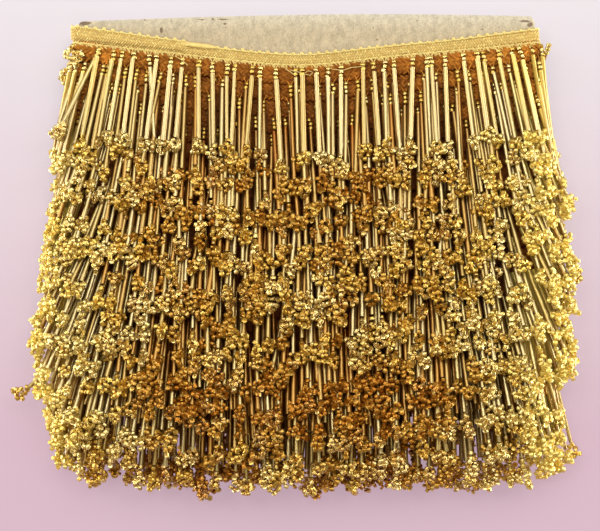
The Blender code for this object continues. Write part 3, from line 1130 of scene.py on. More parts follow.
@dataclass
class FringeWinding:
    """Every strand of the wound fringe, turn by turn."""

    form: WoundForm
    outline: UnevenOutline = OUTLINE
    turns: int = 20
    pitch: float = 8.1 * MM
    spacing: float = 6.4 * MM
    braid_half_width: float = 3.0 * MM
    root_height: float = 0.7 * MM
    root_jitter: float = 0.7 * MM
    knee_drop: float = 3.0 * MM
    knee_height: float = 2.4 * MM
    knee_lean: float = 0.06
    strand_drop: float = 46.5 * MM
    cluster_half: float = 3.3 * MM
    run_jitter: float = 2.3 * MM
    drop_spread: float = 1.5 * MM
    wave_reach: float = 18 * MM
    wave_drop: float = 11.0 * MM
    first_wave: float = 0.35
    longest_drop: float = 4.5 * MM
    height_spread: float = 1.6 * MM
    gather_reach: float = 4.6 * MM
    gather_across: float = 17 * MM
    gather_down: float = 62 * MM
    wild_share: float = 0.1
    wild_reach: float = 7.0 * MM
    top_height: float = 14.5 * MM
    full_height: float = 20.0 * MM
    full_range: Pair = (46 * MM, 132 * MM)
    low_range: Pair = (186 * MM, 214 * MM)
    back_height: float = 14.5 * MM
    back_range: Pair = (math.radians(100), math.radians(150))
    floor_clear: float = 2.3 * MM
    hem_from: int = 17
    hem_spacing: float = 6.2 * MM
    filler_turns: tuple[int, ...] = (16, 17, 18, 19)
    filler_spacing: float = 3.4 * MM
    filler_depth: float = 5.0 * MM
    filler_lift: float = 6.0 * MM
    # Painted shade: the fillers lie deep in the pile, so their tone is cut.
    filler_tone: float = 0.3
    tasselled_fillers: tuple[int, ...] = (18, 19)
    tasselled_lift: float = 0.3
    bare_corner: Pair = (math.radians(12), math.radians(115))
    fine_to: float = math.radians(115)
    patch_reach: Pair = (13 * MM, 34 * MM)
    patch_strength: Pair = (0.5, 0.2)
    bands: tuple[ShadeBand, ...] = (
        ShadeBand(72 * MM, 20 * MM, 0.25),
        ShadeBand(106 * MM, 9 * MM, -0.3),
        ShadeBand(169 * MM, 24 * MM, 1.1),
    )
    band_end: Pair = (62 * MM, 95 * MM)
    first_light: float = 0.6
    right_light: float = 12 * MM
    tone_range: Pair = (0.1, 0.8)
    lit_tone: float = 0.5
    shade_tone: float = 0.35
    sunk_range: float = 3.5 * MM
    crowd_distance: float = 5.2 * MM
    crowd_passes: int = 5
    crowd_push: float = 0.25
    crowd_rise: float = 0.8 * MM
    crowd_reach: float = 2.6 * MM
    seed: int = 41

    def outer_height(self, drop: float, angle: float) -> float:
        """How far out the fringe's surface is, at a drop and an angle round the card.

        Args:
            drop: The drop.
            angle: The angle.

        Returns:
            The height.
        """
        rise = smoothstep(*self.full_range, drop) - smoothstep(*self.low_range, drop)
        front = self.top_height + (self.full_height - self.top_height) * rise
        return front + (self.back_height - front) * smoothstep(*self.back_range, angle)

    def tip_runs(self, tip_height: float, spacing: float) -> list[float]:
        """Spaces the tips of a turn round the card, evenly between their roots and themselves.

        Args:
            tip_height: The height of the tips.
            spacing: How far apart they are.

        Returns:
            The run of each tip.
        """
        half_ring = 2 * self.form.quarter_run(tip_height)
        steps = 600
        runs = np.linspace(-half_ring, half_ring, steps)
        roots = np.array([self.form.root_run(run, tip_height, self.root_height) for run in runs])
        lengths = (np.diff(runs) + np.abs(np.diff(roots))) / 2
        total = np.concatenate([[0.0], np.cumsum(lengths)])
        count = round(total[-1] / spacing)
        wanted = (np.arange(count) + 0.5) / count * total[-1]
        return list(np.interp(wanted, total, runs))

    def gathering(self, run: float, drop: float) -> float:
        """How far the tips lean together at a run and a drop, as neighbouring turns do.

        Args:
            run: The run.
            drop: The drop.

        Returns:
            The lean, positive to the right.
        """
        wide = Vector((run / self.gather_across, drop / self.gather_down, 0.5))
        tight = Vector((run / self.gather_across * 2.3, drop / self.gather_down * 1.9, 4.5))
        return self.gather_reach * (noise.noise(wide) + 0.6 * noise.noise(tight))

    def patch(self, run: float, drop: float) -> float:
        """How much paler the strands are at a run and a drop, in patches that neighbours share.

        Args:
            run: The run.
            drop: The drop.

        Returns:
            The change of tone.
        """
        shift = 0.0
        for number, (reach, strength) in enumerate(zip(self.patch_reach, self.patch_strength)):
            here = Vector((run / reach, drop / reach, 7.5 + 3 * number))
            shift += strength * noise.noise(here)
        return shift

    def shade(self, x: float, drop: float) -> float:
        """How much of the light misses the pile in its bands, which end short of its sides.

        Args:
            x: The distance from the card's middle.
            drop: The drop.

        Returns:
            The added depth.
        """
        shade = 0.0
        for band in self.bands:
            shade += band.shade * max(1 - ((drop - band.drop) / band.reach) ** 2, 0) ** 2
        return shade * (1 - smoothstep(*self.band_end, abs(x)))

    def through(self, x: float) -> float:
        """How much light comes through the strands from beside the pile.

        Args:
            x: The distance from the card's middle.

        Returns:
            The share of the light.
        """
        half = self.form.card_width / 2
        out = max(-x, x + self.right_light)
        broad = smoothstep(half - 50 * MM, half + 6 * MM, out)
        edge = smoothstep(half + 2 * MM, half + 15 * MM, out)
        return (broad + edge) / 2

    def lay(self) -> list[Strand]:
        """Lays every strand and settles the crowded clusters.

        Returns:
            The strands, the fillers last.
        """
        chance = random.Random(self.seed)
        strands: list[Strand] = []
        for turn in range(self.turns):
            strands.extend(self._lay_turn(turn, chance))
        self._settle(strands)
        for turn in self.filler_turns:
            strands.extend(self._lay_turn(turn, chance, self.filler_depth))
        return strands

    def _lay_turn(self, turn: int, chance: random.Random, depth: float = 0.0) -> list[Strand]:
        """Lays the strands of one turn.

        Args:
            turn: The turn's number, from the top.
            chance: The source of chance.
            depth: How far under the fringe's surface they lie: 0 for the usual strands.

        Returns:
            The turn's strands.
        """
        form = self.form
        root_drop = turn * self.pitch + self.braid_half_width
        tip_drop = root_drop + self.strand_drop
        ring_height = self.outer_height(tip_drop, 0) - self.cluster_half
        laid = []
        shift = chance.uniform(0, self.spacing)
        spacing = self.hem_spacing if turn >= self.hem_from else self.spacing
        tasselled = depth > 0 and turn in self.tasselled_fillers
        if depth:
            spacing = self.spacing if tasselled else self.filler_spacing
        for even_run in self.tip_runs(ring_height, spacing):
            root_of = even_run + shift + chance.uniform(-1, 1) * self.run_jitter
            run = root_of + self.gathering(root_of, tip_drop)
            if chance.random() < self.wild_share:
                run += chance.uniform(-1, 1) * self.wild_reach
            drop = tip_drop + chance.gauss(0, 1) * self.drop_spread
            wave = noise.noise(Vector((run / self.wave_reach, 3.7 * turn, 1.5)))
            drop += wave * self.wave_drop * (self.first_wave if turn == 0 else 1.0)
            drop = min(drop, tip_drop + self.longest_drop)
            station = form.station(run, ring_height)
            sunk = abs(chance.gauss(0, 1)) * self.height_spread + depth
            height = self.outer_height(drop, station.angle) - self.cluster_half - sunk
            if depth:
                drop -= self.filler_lift * (self.tasselled_lift if tasselled else 1.0)
            tip = form.place(station, drop, height)
            tip.z = max(tip.z, self.floor_clear)
            root_run = form.root_run(root_of, ring_height, self.root_height)
            root_run += chance.uniform(-1, 1) * self.root_jitter
            root = form.place(form.station(root_run, self.root_height), root_drop, self.root_height)
            knee_station = form.station(root_run + (run - root_run) * self.knee_lean, self.knee_height)
            knee = form.place(knee_station, root_drop + self.knee_drop, self.knee_height)
            in_corner = self.bare_corner[0] < station.angle < self.bare_corner[1]
            if turn == 0 and station.side < 0 and in_corner:
                continue
            from_middle = tip.x - form.centre_x
            self._shape_outline(tip, drop)
            patch = self.patch(run, tip_drop)
            shade = self.shade(from_middle, drop) - (self.first_light if turn == 0 else 0.0)
            through = self.through(from_middle)
            # Painted light and shade: a strand is paler where light comes through from the sides, and darker
            # and deeper in the shade bands.
            tone = self.tone_range[0] + self.tone_range[1] * chance.random() + patch
            tone += self.lit_tone * through - self.shade_tone * shade
            laid.append(
                Strand(
                    root, knee, tip, station.outward(), turn,
                    fine=station.angle < self.fine_to and not depth,
                    tone=limited(tone) * (self.filler_tone if depth else 1.0),
                    depth=limited(sunk / self.sunk_range - patch + shade),
                    filler=depth > 0 and not tasselled,
                    through=through,
                )
            )
        return laid

    def _shape_outline(self, tip: Vector, drop: float) -> None:
        """Lets the fringe bulge unevenly at its sides and hang unevenly at its hem.

        Args:
            tip: The middle of a strand's cluster, which is moved.
            drop: The tip's drop.
        """
        outline = self.outline
        x = tip.x - self.form.centre_x
        half = self.form.card_width / 2
        past_left = smoothstep(-(half - 14 * MM), -(half + 12 * MM), x)
        past_right = smoothstep(half - 14 * MM, half + 12 * MM, x)
        low = smoothstep(184 * MM, 212 * MM, drop)
        tip.x -= past_left * float(np.interp(drop, outline.side_drops, outline.left))
        tip.x += past_right * float(np.interp(drop, outline.side_drops, outline.right))
        tip.x += 9 * MM * smoothstep(-(half - 16 * MM), -(half + 18 * MM), x) * low**2
        tip.y -= (1.0 * MM + 5.0 * MM * smoothstep(15 * MM, 50 * MM, abs(x))) * low
        tip.y -= float(np.interp(x, outline.hem_places, outline.hem)) * low

    def _settle(self, strands: list[Strand]) -> None:
        """Pushes crowded clusters apart, a little at a time.

        Args:
            strands: The strands, whose tips are moved.
        """
        starts = [strand.tip.copy() for strand in strands]
        for _ in range(self.crowd_passes):
            tree = KDTree(len(strands))
            for index, strand in enumerate(strands):
                tree.insert(strand.tip, index)
            tree.balance()
            moves = [Vector((0, 0, 0)) for _ in strands]
            for index, strand in enumerate(strands):
                for place, other, distance in tree.find_range(strand.tip, self.crowd_distance):
                    if other != index and distance >= 1e-9:
                        push = (self.crowd_distance - distance) * self.crowd_push
                        moves[index] += (strand.tip - place) / distance * push
            for strand, start, move in zip(strands, starts, moves):
                away = strand.tip + move - start
                rise = away.dot(strand.outward)
                if rise > self.crowd_rise:
                    away -= strand.outward * (rise - self.crowd_rise)
                if away.length > self.crowd_reach:
                    away *= self.crowd_reach / away.length
                strand.tip = start + away
                strand.tip.z = max(strand.tip.z, self.floor_clear)


@dataclass
class StrandBeads:
    """How a strand is threaded: a neck of seed beads, a bugle and a looped cluster of seeds."""

    seed_width: float = 3.0 * MM
    seed_length: float = 2.4 * MM
    seed_tilt: float = 0.45
    seed_scatter: float = 0.14 * MM
    root_thread: float = 1.5 * MM
    neck_choice: tuple[int, ...] = (2, 2, 3, 3, 3)
    neck_seed_width: float = 2.9 * MM
    neck_seed_length: float = 2.05 * MM
    bugle_width: float = 2.45 * MM
    bugle_girths: tuple[float, ...] = (0.8, 0.9, 0.95, 1.0, 1.0, 1.12)
    bugle_lengths: Pair = (36 * MM, 40 * MM)
    bugle_tone: Pair = (-0.05, 0.15)
    # Painted light and shade of the bugles: the top row's are paler, and each lower turn's sit in more
    # painted shade, strongest at their roots.
    top_row_light: float = 0.3
    buried: tuple[float, ...] = (0.0, 0.45, 0.7, 0.9)
    buried_spread: float = 0.2
    side_light: float = 0.5
    floor_share: float = 0.6
    loop_seeds: tuple[int, int] = (8, 9)
    loop_tightness: float = 0.84
    loop_gap: float = 0.6 * MM
    loop_folds: float = 0.25
    loop_rise: float = 1.3 * MM
    loop_turn: float = math.radians(30)
    neck_turns: int = 5
    seed: int = 7
    chance: random.Random = field(init=False)

    def __post_init__(self) -> None:
        """Starts the source of chance."""
        self.chance = random.Random(self.seed)

    def thread(self, strand: Strand, cloud: PointCloud) -> None:
        """Threads a strand's beads.

        Args:
            strand: The strand.
            cloud: Where the beads are added.
        """
        chance = self.chance
        count, radius = self._loop_size()
        whole = (strand.knee - strand.root).length + (strand.tip - strand.knee).length
        loop_top = whole - radius - self.loop_gap
        neck_seeds = chance.choice(self.neck_choice)
        bugle_start = self.root_thread + neck_seeds * self.neck_seed_length
        bugle = min(chance.uniform(*self.bugle_lengths), loop_top - bugle_start)
        tail_seeds = int((loop_top - bugle_start - bugle) / self.seed_length)
        bugle_end = loop_top - tail_seeds * self.seed_length
        girth = self.bugle_width * chance.choice(self.bugle_girths)
        # Painted light: the top row's bugles are paler.
        pale = self.top_row_light if strand.turn == 0 else 0.0
        tone = limited(pale + strand.tone * (1 - pale) + chance.gauss(*self.bugle_tone))
        start = self.along(strand, bugle_start)
        end = self.along(strand, bugle_end)
        for point in (start, end):
            point.z = max(point.z, self.floor_share * girth)
        slope = (end - start).normalized()
        size = (girth, girth, (end - start).length)
        # Painted shade, which turns to painted light where light comes through from the sides.
        covered = min(strand.turn / 2, 1)
        buried = self.buried[min(strand.turn, len(self.buried) - 1)]
        buried += (chance.gauss(0, self.buried_spread) + 0.5 * strand.depth) * covered
        buried = buried * (1 - strand.through) - self.side_light * strand.through
        facing = across(slope, strand.outward)
        cloud.add((start + end) / 2, slope, facing, size, tone, BeadKind.BUGLE, buried)
        if strand.filler:
            return
        for index in range(tail_seeds):
            here = self.along(strand, bugle_end + (index + 0.5) * self.seed_length)
            self._seed(here, slope, strand, cloud)
        if strand.turn < self.neck_turns:
            self._neck(strand, bugle_start, neck_seeds, tone, cloud)
        self._loop(strand, count, radius, cloud)

    def rosette(self, strand: Strand, cloud: PointCloud) -> None:
        """Threads a strand's cluster alone."""
        self._loop(strand, *self._loop_size(), cloud)

    def along(self, strand: Strand, distance: float) -> Vector:
        """Finds the point on a strand at a distance from its root.

        Args:
            strand: The strand.
            distance: The distance.

        Returns:
            The point.
        """
        neck = (strand.knee - strand.root).length
        if distance < neck:
            return strand.root.lerp(strand.knee, distance / neck)
        return strand.knee + strand.fall() * (distance - neck)

    def _loop_size(self) -> tuple[int, float]:
        """Picks how many seeds a loop has, and gives its radius too."""
        count = self.chance.randint(*self.loop_seeds)
        return count, self.loop_tightness * count * self.seed_length / (2 * math.pi)

    def _neck(self, strand: Strand, bugle_start: float, count: int, tone: float,
              cloud: PointCloud) -> None:
        """Threads the seeds between the braid and the bugle.

        Args:
            strand: The strand.
            bugle_start: The distance from the root to the bugle's upper end.
            count: How many seeds there are.
            tone: The bugle's tone.
            cloud: Where the beads are added.
        """
        for index in range(count):
            distance = bugle_start - (index + 0.5) * self.neck_seed_length
            here = self.along(strand, distance)
            axis = (self.along(strand, distance + 0.5 * MM) - here).normalized()
            side = axis.cross(strand.outward)
            here = here + side * self.chance.gauss(0, 0.28) * MM
            axis = (axis + side * self.chance.gauss(0, 0.25)).normalized()
            width = self.neck_seed_width * self.chance.uniform(0.82, 1.12)
            shade = limited(tone * 0.6 + self.chance.gauss(0.22, 0.15))
            size = (width, width, self.neck_seed_length * 1.04)
            cloud.add(here, axis, across(axis, strand.outward), size, shade, BeadKind.FINE_SEED)

    def _loop(self, strand: Strand, count: int, radius: float, cloud: PointCloud) -> None:
        """Threads the tight, twisted loop of seeds at a strand's end.

        Args:
            strand: The strand.
            count: How many seeds the loop has.
            radius: The loop's radius, laid flat.
            cloud: Where the beads are added.
        """
        chance = self.chance
        direction = strand.fall()
        turn = chance.gauss(0, self.loop_turn)
        facing = across(direction, strand.outward)
        side = direction.cross(facing)
        wide = side * math.cos(turn) + facing * math.sin(turn)
        deep = facing * math.cos(turn) - side * math.sin(turn)
        narrow = chance.uniform(0.72, 1.12)
        tall = math.sqrt(max(2 - narrow**2, 0.8))
        start = chance.uniform(0, 2 * math.pi)

        def loop_point(angle: float) -> Vector:
            """Finds the point of the loop at an angle from its lowest end.

            Args:
                angle: The angle.

            Returns:
                The point.
            """
            swell = radius * (1 + self.loop_folds * math.cos(3 * angle + start))
            drop = -math.cos(angle) * swell * tall
            reach = math.sin(angle) * swell * narrow
            rise = math.sin(2 * angle + start) * self.loop_rise
            return strand.tip + direction * drop + wide * reach + deep * rise

        for index in range(count):
            angle = 2 * math.pi * (index + 0.5) / count
            axis = (loop_point(angle + 0.05) - loop_point(angle - 0.05)).normalized()
            self._seed(loop_point(angle), axis, strand, cloud)
        for side_sign in (-1, 1):
            here = strand.tip + deep * chance.uniform(0.3, 1.4) * MM
            here += wide * side_sign * chance.uniform(0.4, 1.2) * MM
            here += direction * chance.uniform(-1, 1) * MM
            axis = (wide + direction * chance.uniform(-1, 1)).normalized()
            self._seed(here, axis, strand, cloud)

    def _seed(self, here: Vector, axis: Vector, strand: Strand, cloud: PointCloud) -> None:
        """Threads one seed of a cluster.

        Args:
            here: Where it is.
            axis: The way its thread runs.
            strand: The strand.
            cloud: Where it is added.
        """
        chance = self.chance
        kind = BeadKind.FINE_SEED if strand.fine else BeadKind.PLAIN_SEED
        scatter = Vector([chance.gauss(0, 1) for _ in range(3)])
        here = here + scatter * self.seed_scatter
        width = self.seed_width * chance.uniform(0.86, 1.12)
        shade = limited(strand.tone * 0.85 + chance.random() * 0.3 - 0.07)
        long = self.seed_length * chance.uniform(0.85, 1.25)
        size = (width * chance.uniform(0.82, 1.1), width * chance.uniform(0.82, 1.1), long)
        here.z = max(here.z, self.floor_share * width)
        # Painted shade from the strand's depth, turning to painted light where light comes through from the
        # sides.
        depth = min(strand.depth * 0.8 + chance.random() * 0.2, 1)
        depth += (-self.side_light - depth) * strand.through
        axis = (axis + across(axis, strand.outward) * chance.gauss(0, self.seed_tilt)).normalized()
        cloud.add(here, axis, across(axis, strand.outward), size, shade, kind, depth)


@dataclass(frozen=True)
class LooseStrand:
    """A strand that hangs away from the rest, its places in millimetres in the frame."""

    tier: str
    bugle_start: Triple
    bugle_end: Triple
    cluster: Triple
    neck_seeds: int = 0
    girth: float = 1.9
    tone: float = 0.5
    side_light: float = 0.0
    neck_tone: float = 0.6

    def thread(self, threading: StrandBeads, cloud: PointCloud) -> None:
        """Threads its beads.

        Args:
            threading: How a strand is threaded.
            cloud: Where the beads are added.
        """
        start, end, tip = (Vector(p) * MM for p in (self.bugle_start, self.bugle_end, self.cluster))
        slope = (end - start).normalized()
        outward = across(slope, Vector((0, 0, 1)))
        girth = self.girth * MM
        size = (girth, girth, (end - start).length)
        cloud.add((start + end) / 2, slope, outward, size, self.tone, BeadKind.BUGLE, -self.side_light)
        width = threading.neck_seed_width
        size = (width, width, threading.neck_seed_length)
        for index in range(self.neck_seeds):
            here = start - slope * (index + 0.5) * threading.neck_seed_length
            cloud.add(here, slope, outward, size, self.neck_tone, BeadKind.FINE_SEED)
        strand = Strand(start, end, tip, outward, 0, True, self.tone, through=self.side_light)
        threading.rosette(strand, cloud)


TOP_ROW = "top_row_beads"
LOOSE_STRANDS = (
    LooseStrand("tier_6_beads", (-119.0, -55.0, 15.0), (-130.4, -64.6, 14.0), (-133.4, -66.2, 13.6)),
    LooseStrand("tier_3_beads", (121.0, 25.0, 16.0), (134.0, -6.0, 17.0), (135.2, -9.4, 17.0)),
    LooseStrand("tier_7_beads", (126.0, -58.0, 10.0), (134.8, -92.0, 8.0), (135.8, -95.6, 7.0)),
    LooseStrand(
        TOP_ROW, (121.4, 97.4, 16.0), (117.6, 84.2, 9.0), (118.9, 79.6, 8.0),
        neck_seeds=3, girth=1.6, tone=0.05,
    ),
    LooseStrand(TOP_ROW, (121.2, 77.4, 8.0), (123.2, 59.6, 6.0), (122.4, 57.0, 5.6)),
    LooseStrand(
        TOP_ROW, (-97.4, 94.2, 18.0), (-111.4, 64.2, 24.0), (-112.8, 61.2, 24.6),
        neck_seeds=3, girth=2.3, tone=0.85, side_light=0.2,
    ),
    LooseStrand(
        TOP_ROW, (-106.4, 88.4, 16.0), (-113.6, 64.4, 21.0), (-114.6, 59.2, 21.4),
        neck_seeds=2, girth=2.1, tone=0.95, side_light=0.2,
    ),
    LooseStrand(
        TOP_ROW, (-110.0, 94.6, 9.0), (-111.6, 90.4, 9.0), (-112.0, 87.6, 9.4), tone=0.8, side_light=0.3
    ),
    LooseStrand(
        TOP_ROW, (-106.9, 101.2, 14.0), (-107.5, 99.8, 15.0), (-108.6, 98.2, 15.5),
        tone=0.85, side_light=0.3,
    ),
    LooseStrand(TOP_ROW, (-103.4, 99.4, 17.6), (-104.6, 96.6, 18.0), (-105.4, 95.0, 18.2), tone=0.75),
)


# ---- The gimp braid ----


@dataclass
class GimpBraid:
    """Turns of gimp braid: a flat core under slanted plaits, looped along both edges."""

    form: WoundForm
    core_width: float = 5.6 * MM
    core_thickness: float = 0.8 * MM
    core_column: float = 3.0 * MM
    core_shoulder: float = 0.62
    end_widening: float = 0.28
    widening_range: Pair = (60 * MM, 108 * MM)
    waver: float = 0.0
    waver_length: float = 14 * MM
    middle_dark: float = 0.0
    dark_range: Pair = (35 * MM, 105 * MM)
    plait_rows: int = 5
    plait_row_pitch: float = 1.22 * MM
    plait_pitch: float = 1.3 * MM
    plait_size: Triple = (0.75 * MM, 0.75 * MM, 1.9 * MM)
    plait_slant: float = math.radians(52)
    plait_height: float = 0.95 * MM
    plait_tones: Pair = (0.25, 1.0)
    leaf_pitch: float = 2.3 * MM
    leaf_size: Triple = (1.1 * MM, 0.8 * MM, 3.0 * MM)
    leaf_slant: float = math.radians(-52)
    leaf_out: float = 0.5 * MM
    picot_pitch: float = 4.05 * MM
    picot_reach: float = 0.9 * MM
    picot_yarn: float = 0.9 * MM
    scallop_pitch: float = 3.9 * MM
    scallop_reach: float = 1.2 * MM
    scallop_slant: float = 1.3 * MM
    edge_tuck: float = 0.4 * MM
    points_per_loop: int = 9
    thread_spread: float = 1.7 * MM
    span: Pair | None = None
    taper: float = 2.0 * MM
    base: float = 0.0
    seed: int = 23

    def stretch(self, height: float) -> Pair:
        """The runs between which it lies: the whole ring at a height, or its span."""
        half_ring = 2 * self.form.quarter_run(height)
        return self.span or (-half_ring, half_ring)

    def rounding(self, run: float) -> float:
        """How much of its width is left at a run, near the ends of a span.

        Args:
            run: The run.

        Returns:
            The share.
        """
        if self.span is None:
            return 1.0
        from_end = min(run - self.span[0], self.span[1] - run)
        return math.sqrt(max(1 - (1 - min(from_end / self.taper, 1)) ** 2, 0.06))

    def widening(self, run: float) -> float:
        """How much wider the braid is at a run, where it spreads over the card's ends."""
        return 1 + self.end_widening * smoothstep(*self.widening_range, abs(run))

    def brightness(self, run: float) -> float:
        """How much of its tone is left at a run, where the strands over it keep the light off."""
        return 1 - self.middle_dark * (1 - smoothstep(*self.dark_range, abs(run)))

    def point(self, run: float, drop: float, height: float) -> Vector:
        """A point of a turn, from its run, drop and height."""
        level = self.base + height
        return self.form.place(self.form.station(run, level), drop, level)

    def frame(self, run: float, drop: float, height: float) -> tuple[Vector, Vector, Vector]:
        """Gives a point of a turn, the way that the braid runs there and the way that it faces.

        Args:
            run: The run.
            drop: The drop.
            height: The height.

        Returns:
            The point, the way along and the way out.
        """
        step = 0.4 * MM
        ahead = self.point(run + step, drop, height)
        along = (ahead - self.point(run - step, drop, height)).normalized()
        outward = across(along, self.form.station(run, self.base + height).outward())
        return self.point(run, drop, height), along, outward

    def core(self, name: str, drop: float, material: Material, shift: float = 0.0,
             glow: float = 0.8) -> Mesh:
        """Makes the flat core of one turn, with painted shade: pale along its middle and darker at its
        edges.

        Args:
            name: The mesh's name.
            drop: The drop of its middle.
            material: Its material.
            shift: How far its upper edge is moved down.
            glow: The tone of its middle, lowered for painted shade.

        Returns:
            The mesh.
        """
        half = self.core_width / 2
        shoulder = half * self.core_shoulder
        profile = (
            (-half + shift, 0.25, 0.0),
            (-shoulder + shift, 0.85, 0.5 * glow),
            (0.0, 1.0, glow),
            (shoulder, 0.85, 0.5 * glow),
            (half, 0.25, 0.0),
            (0.0, 0.1, 0.0),
        )
        low, high = self.stretch(self.core_thickness / 2)
        steps = int((high - low) / self.core_column)
        columns = steps if self.span is None else steps + 1
        places = []
        tones = []
        for column in range(columns):
            run = low + (high - low) * column / steps
            rounding = self.rounding(run)
            widening = self.widening(run) * rounding
            wave = self.waver * noise.noise(Vector((run / self.waver_length, drop / MM, 0)))
            for offset, share, tone in profile:
                level = drop + offset * widening + wave
                places.append(tuple(self.point(run, level, self.core_thickness * rounding * share)))
                tones.append(tone * self.brightness(run))
        sides = len(profile)
        faces = []
        for column in range(steps):
            here = column * sides
            after = (column + 1) % columns * sides
            for index in range(sides):
                ahead = (index + 1) % sides
                faces.append((here + index, here + ahead, after + ahead, after + index))
        if self.span is not None:
            faces.append(tuple(reversed(range(sides))))
            faces.append(tuple(range((columns - 1) * sides, columns * sides)))
        mesh = bpy.data.meshes.new(name)
        mesh.from_pydata(places, [], faces)
        mesh.attributes.new("tone", "FLOAT", "POINT").data.foreach_set("value", tones)
        mesh.shade_smooth()
        mesh.materials.append(material)
        return mesh

    def plaits(self, drop: float, cloud: PointCloud, chance: random.Random,
               reach: float = math.inf, glow: float = 1.0) -> None:
        """Adds the slanted plaits of one turn.

        Args:
            drop: The drop of its middle.
            cloud: Where the plaits are added.
            chance: The source of chance.
            reach: How far from the middle of the front the plaits go.
            glow: The tone of the palest plaits, lowered for painted shade.
        """
        low, high = self.stretch(self.plait_height)
        count = int((high - low) / self.plait_pitch)
        for row in range(self.plait_rows):
            offset = (row - (self.plait_rows - 1) / 2) * self.plait_row_pitch
            slant = self.plait_slant * (1 if row % 2 else -1)
            for index in range(count):
                run = low + (index + 0.5 * (row % 2)) / count * (high - low)
                if abs(run) > reach:
                    continue
                level = drop + offset * self.widening(run)
                tuft = self._tuft(run, level, self.plait_height, slant + chance.gauss(0, 0.12))
                stretch = chance.uniform(0.9, 1.1)
                size = tuple(value * stretch for value in self.plait_size)
                tone = chance.uniform(*self.plait_tones) * glow * self.brightness(run)
                cloud.add(*tuft, size, tone, BeadKind.PLAIT)

    def leaves(self, drop: float, cloud: PointCloud, chance: random.Random) -> None:
        """Adds the slanted tufts along the lower edge of one turn.

        Args:
            drop: The drop of its middle.
            cloud: Where the tufts are added.
            chance: The source of chance.
        """
        low, high = self.stretch(self.plait_height)
        count = int((high - low) / self.leaf_pitch)
        for index in range(count):
            run = low + (index + chance.uniform(-0.25, 0.25)) / count * (high - low)
            out = self.core_width / 2 * self.widening(run) + self.leaf_out * chance.uniform(0.2, 1.6)
            slant = self.leaf_slant + chance.gauss(0, 0.25)
            tuft = self._tuft(run, drop + out, self.plait_height * 0.8, slant)
            growth = chance.uniform(0.7, 1.2)
            size = tuple(value * growth for value in self.leaf_size)
            cloud.add(*tuft, size, chance.uniform(*self.plait_tones), BeadKind.PLAIT)

    def _tuft(self, run: float, drop: float, height: float, slant: float) -> tuple[Vector, Vector, Vector]:
        """Lays a tuft on a turn, and gives its place, its axis and the way that it faces."""
        here, along, outward = self.frame(run, drop, height)
        return here, along * math.cos(slant) + outward.cross(along) * math.sin(slant), outward

    def edge_yarn(self, drop: float, side: int, pitch: float, reach: float,
                  chance: random.Random, slant: float = 0.0) -> Line:
        """Lays the yarn that loops along one edge of a turn.

        Args:
            drop: The drop of the braid's middle.
            side: 1 for the upper edge and -1 for the lower one.
            pitch: The spacing of the loops.
            reach: How far the loops stand out from the edge.
            chance: The source of chance.
            slant: How far the loops lean along the braid.

        Returns:
            The points along the yarn.
        """
        low, high = self.stretch(self.plait_height)
        steps = int((high - low) / pitch) * self.points_per_loop
        line = []
        edge = self.core_width / 2 - self.edge_tuck
        grow = 1.0
        for step in range(steps):
            turn = 2 * math.pi * step / self.points_per_loop
            if step % self.points_per_loop == 0:
                grow = chance.uniform(0.65, 1.4)
            away = 0.5 * (1 - math.cos(turn))
            even_run = low + step / steps * (high - low)
            run = even_run + 0.36 * pitch * math.sin(turn) + slant * grow * away
            out = edge * self.widening(run) + reach * grow * away
            height = self.plait_height * (0.75 + 0.35 * math.cos(turn + 0.8))
            line.append(self.point(run, drop - side * out, height))
        return line

    def drop_threads(self, strands: Sequence[Strand]) -> list[Line]:
        """Lays the two threads that each strand hangs by, from the braid to its first seed.

        Args:
            strands: The strands.

        Returns:
            The points along each thread.
        """
        lines = []
        for strand in strands:
            down = (strand.knee - strand.root).normalized()
            side = down.cross(strand.outward).normalized()
            foot = strand.root + down * 2.2 * MM + strand.outward * 0.3 * MM
            for sign in (-1, 1):
                top = strand.root - down * 1.4 * MM + strand.outward * 0.8 * MM
                top += side * sign * self.thread_spread
                bend = top.lerp(foot, 0.5) + strand.outward * 0.35 * MM
                lines.append([top, bend, foot])
        return lines


# ---- The card ----


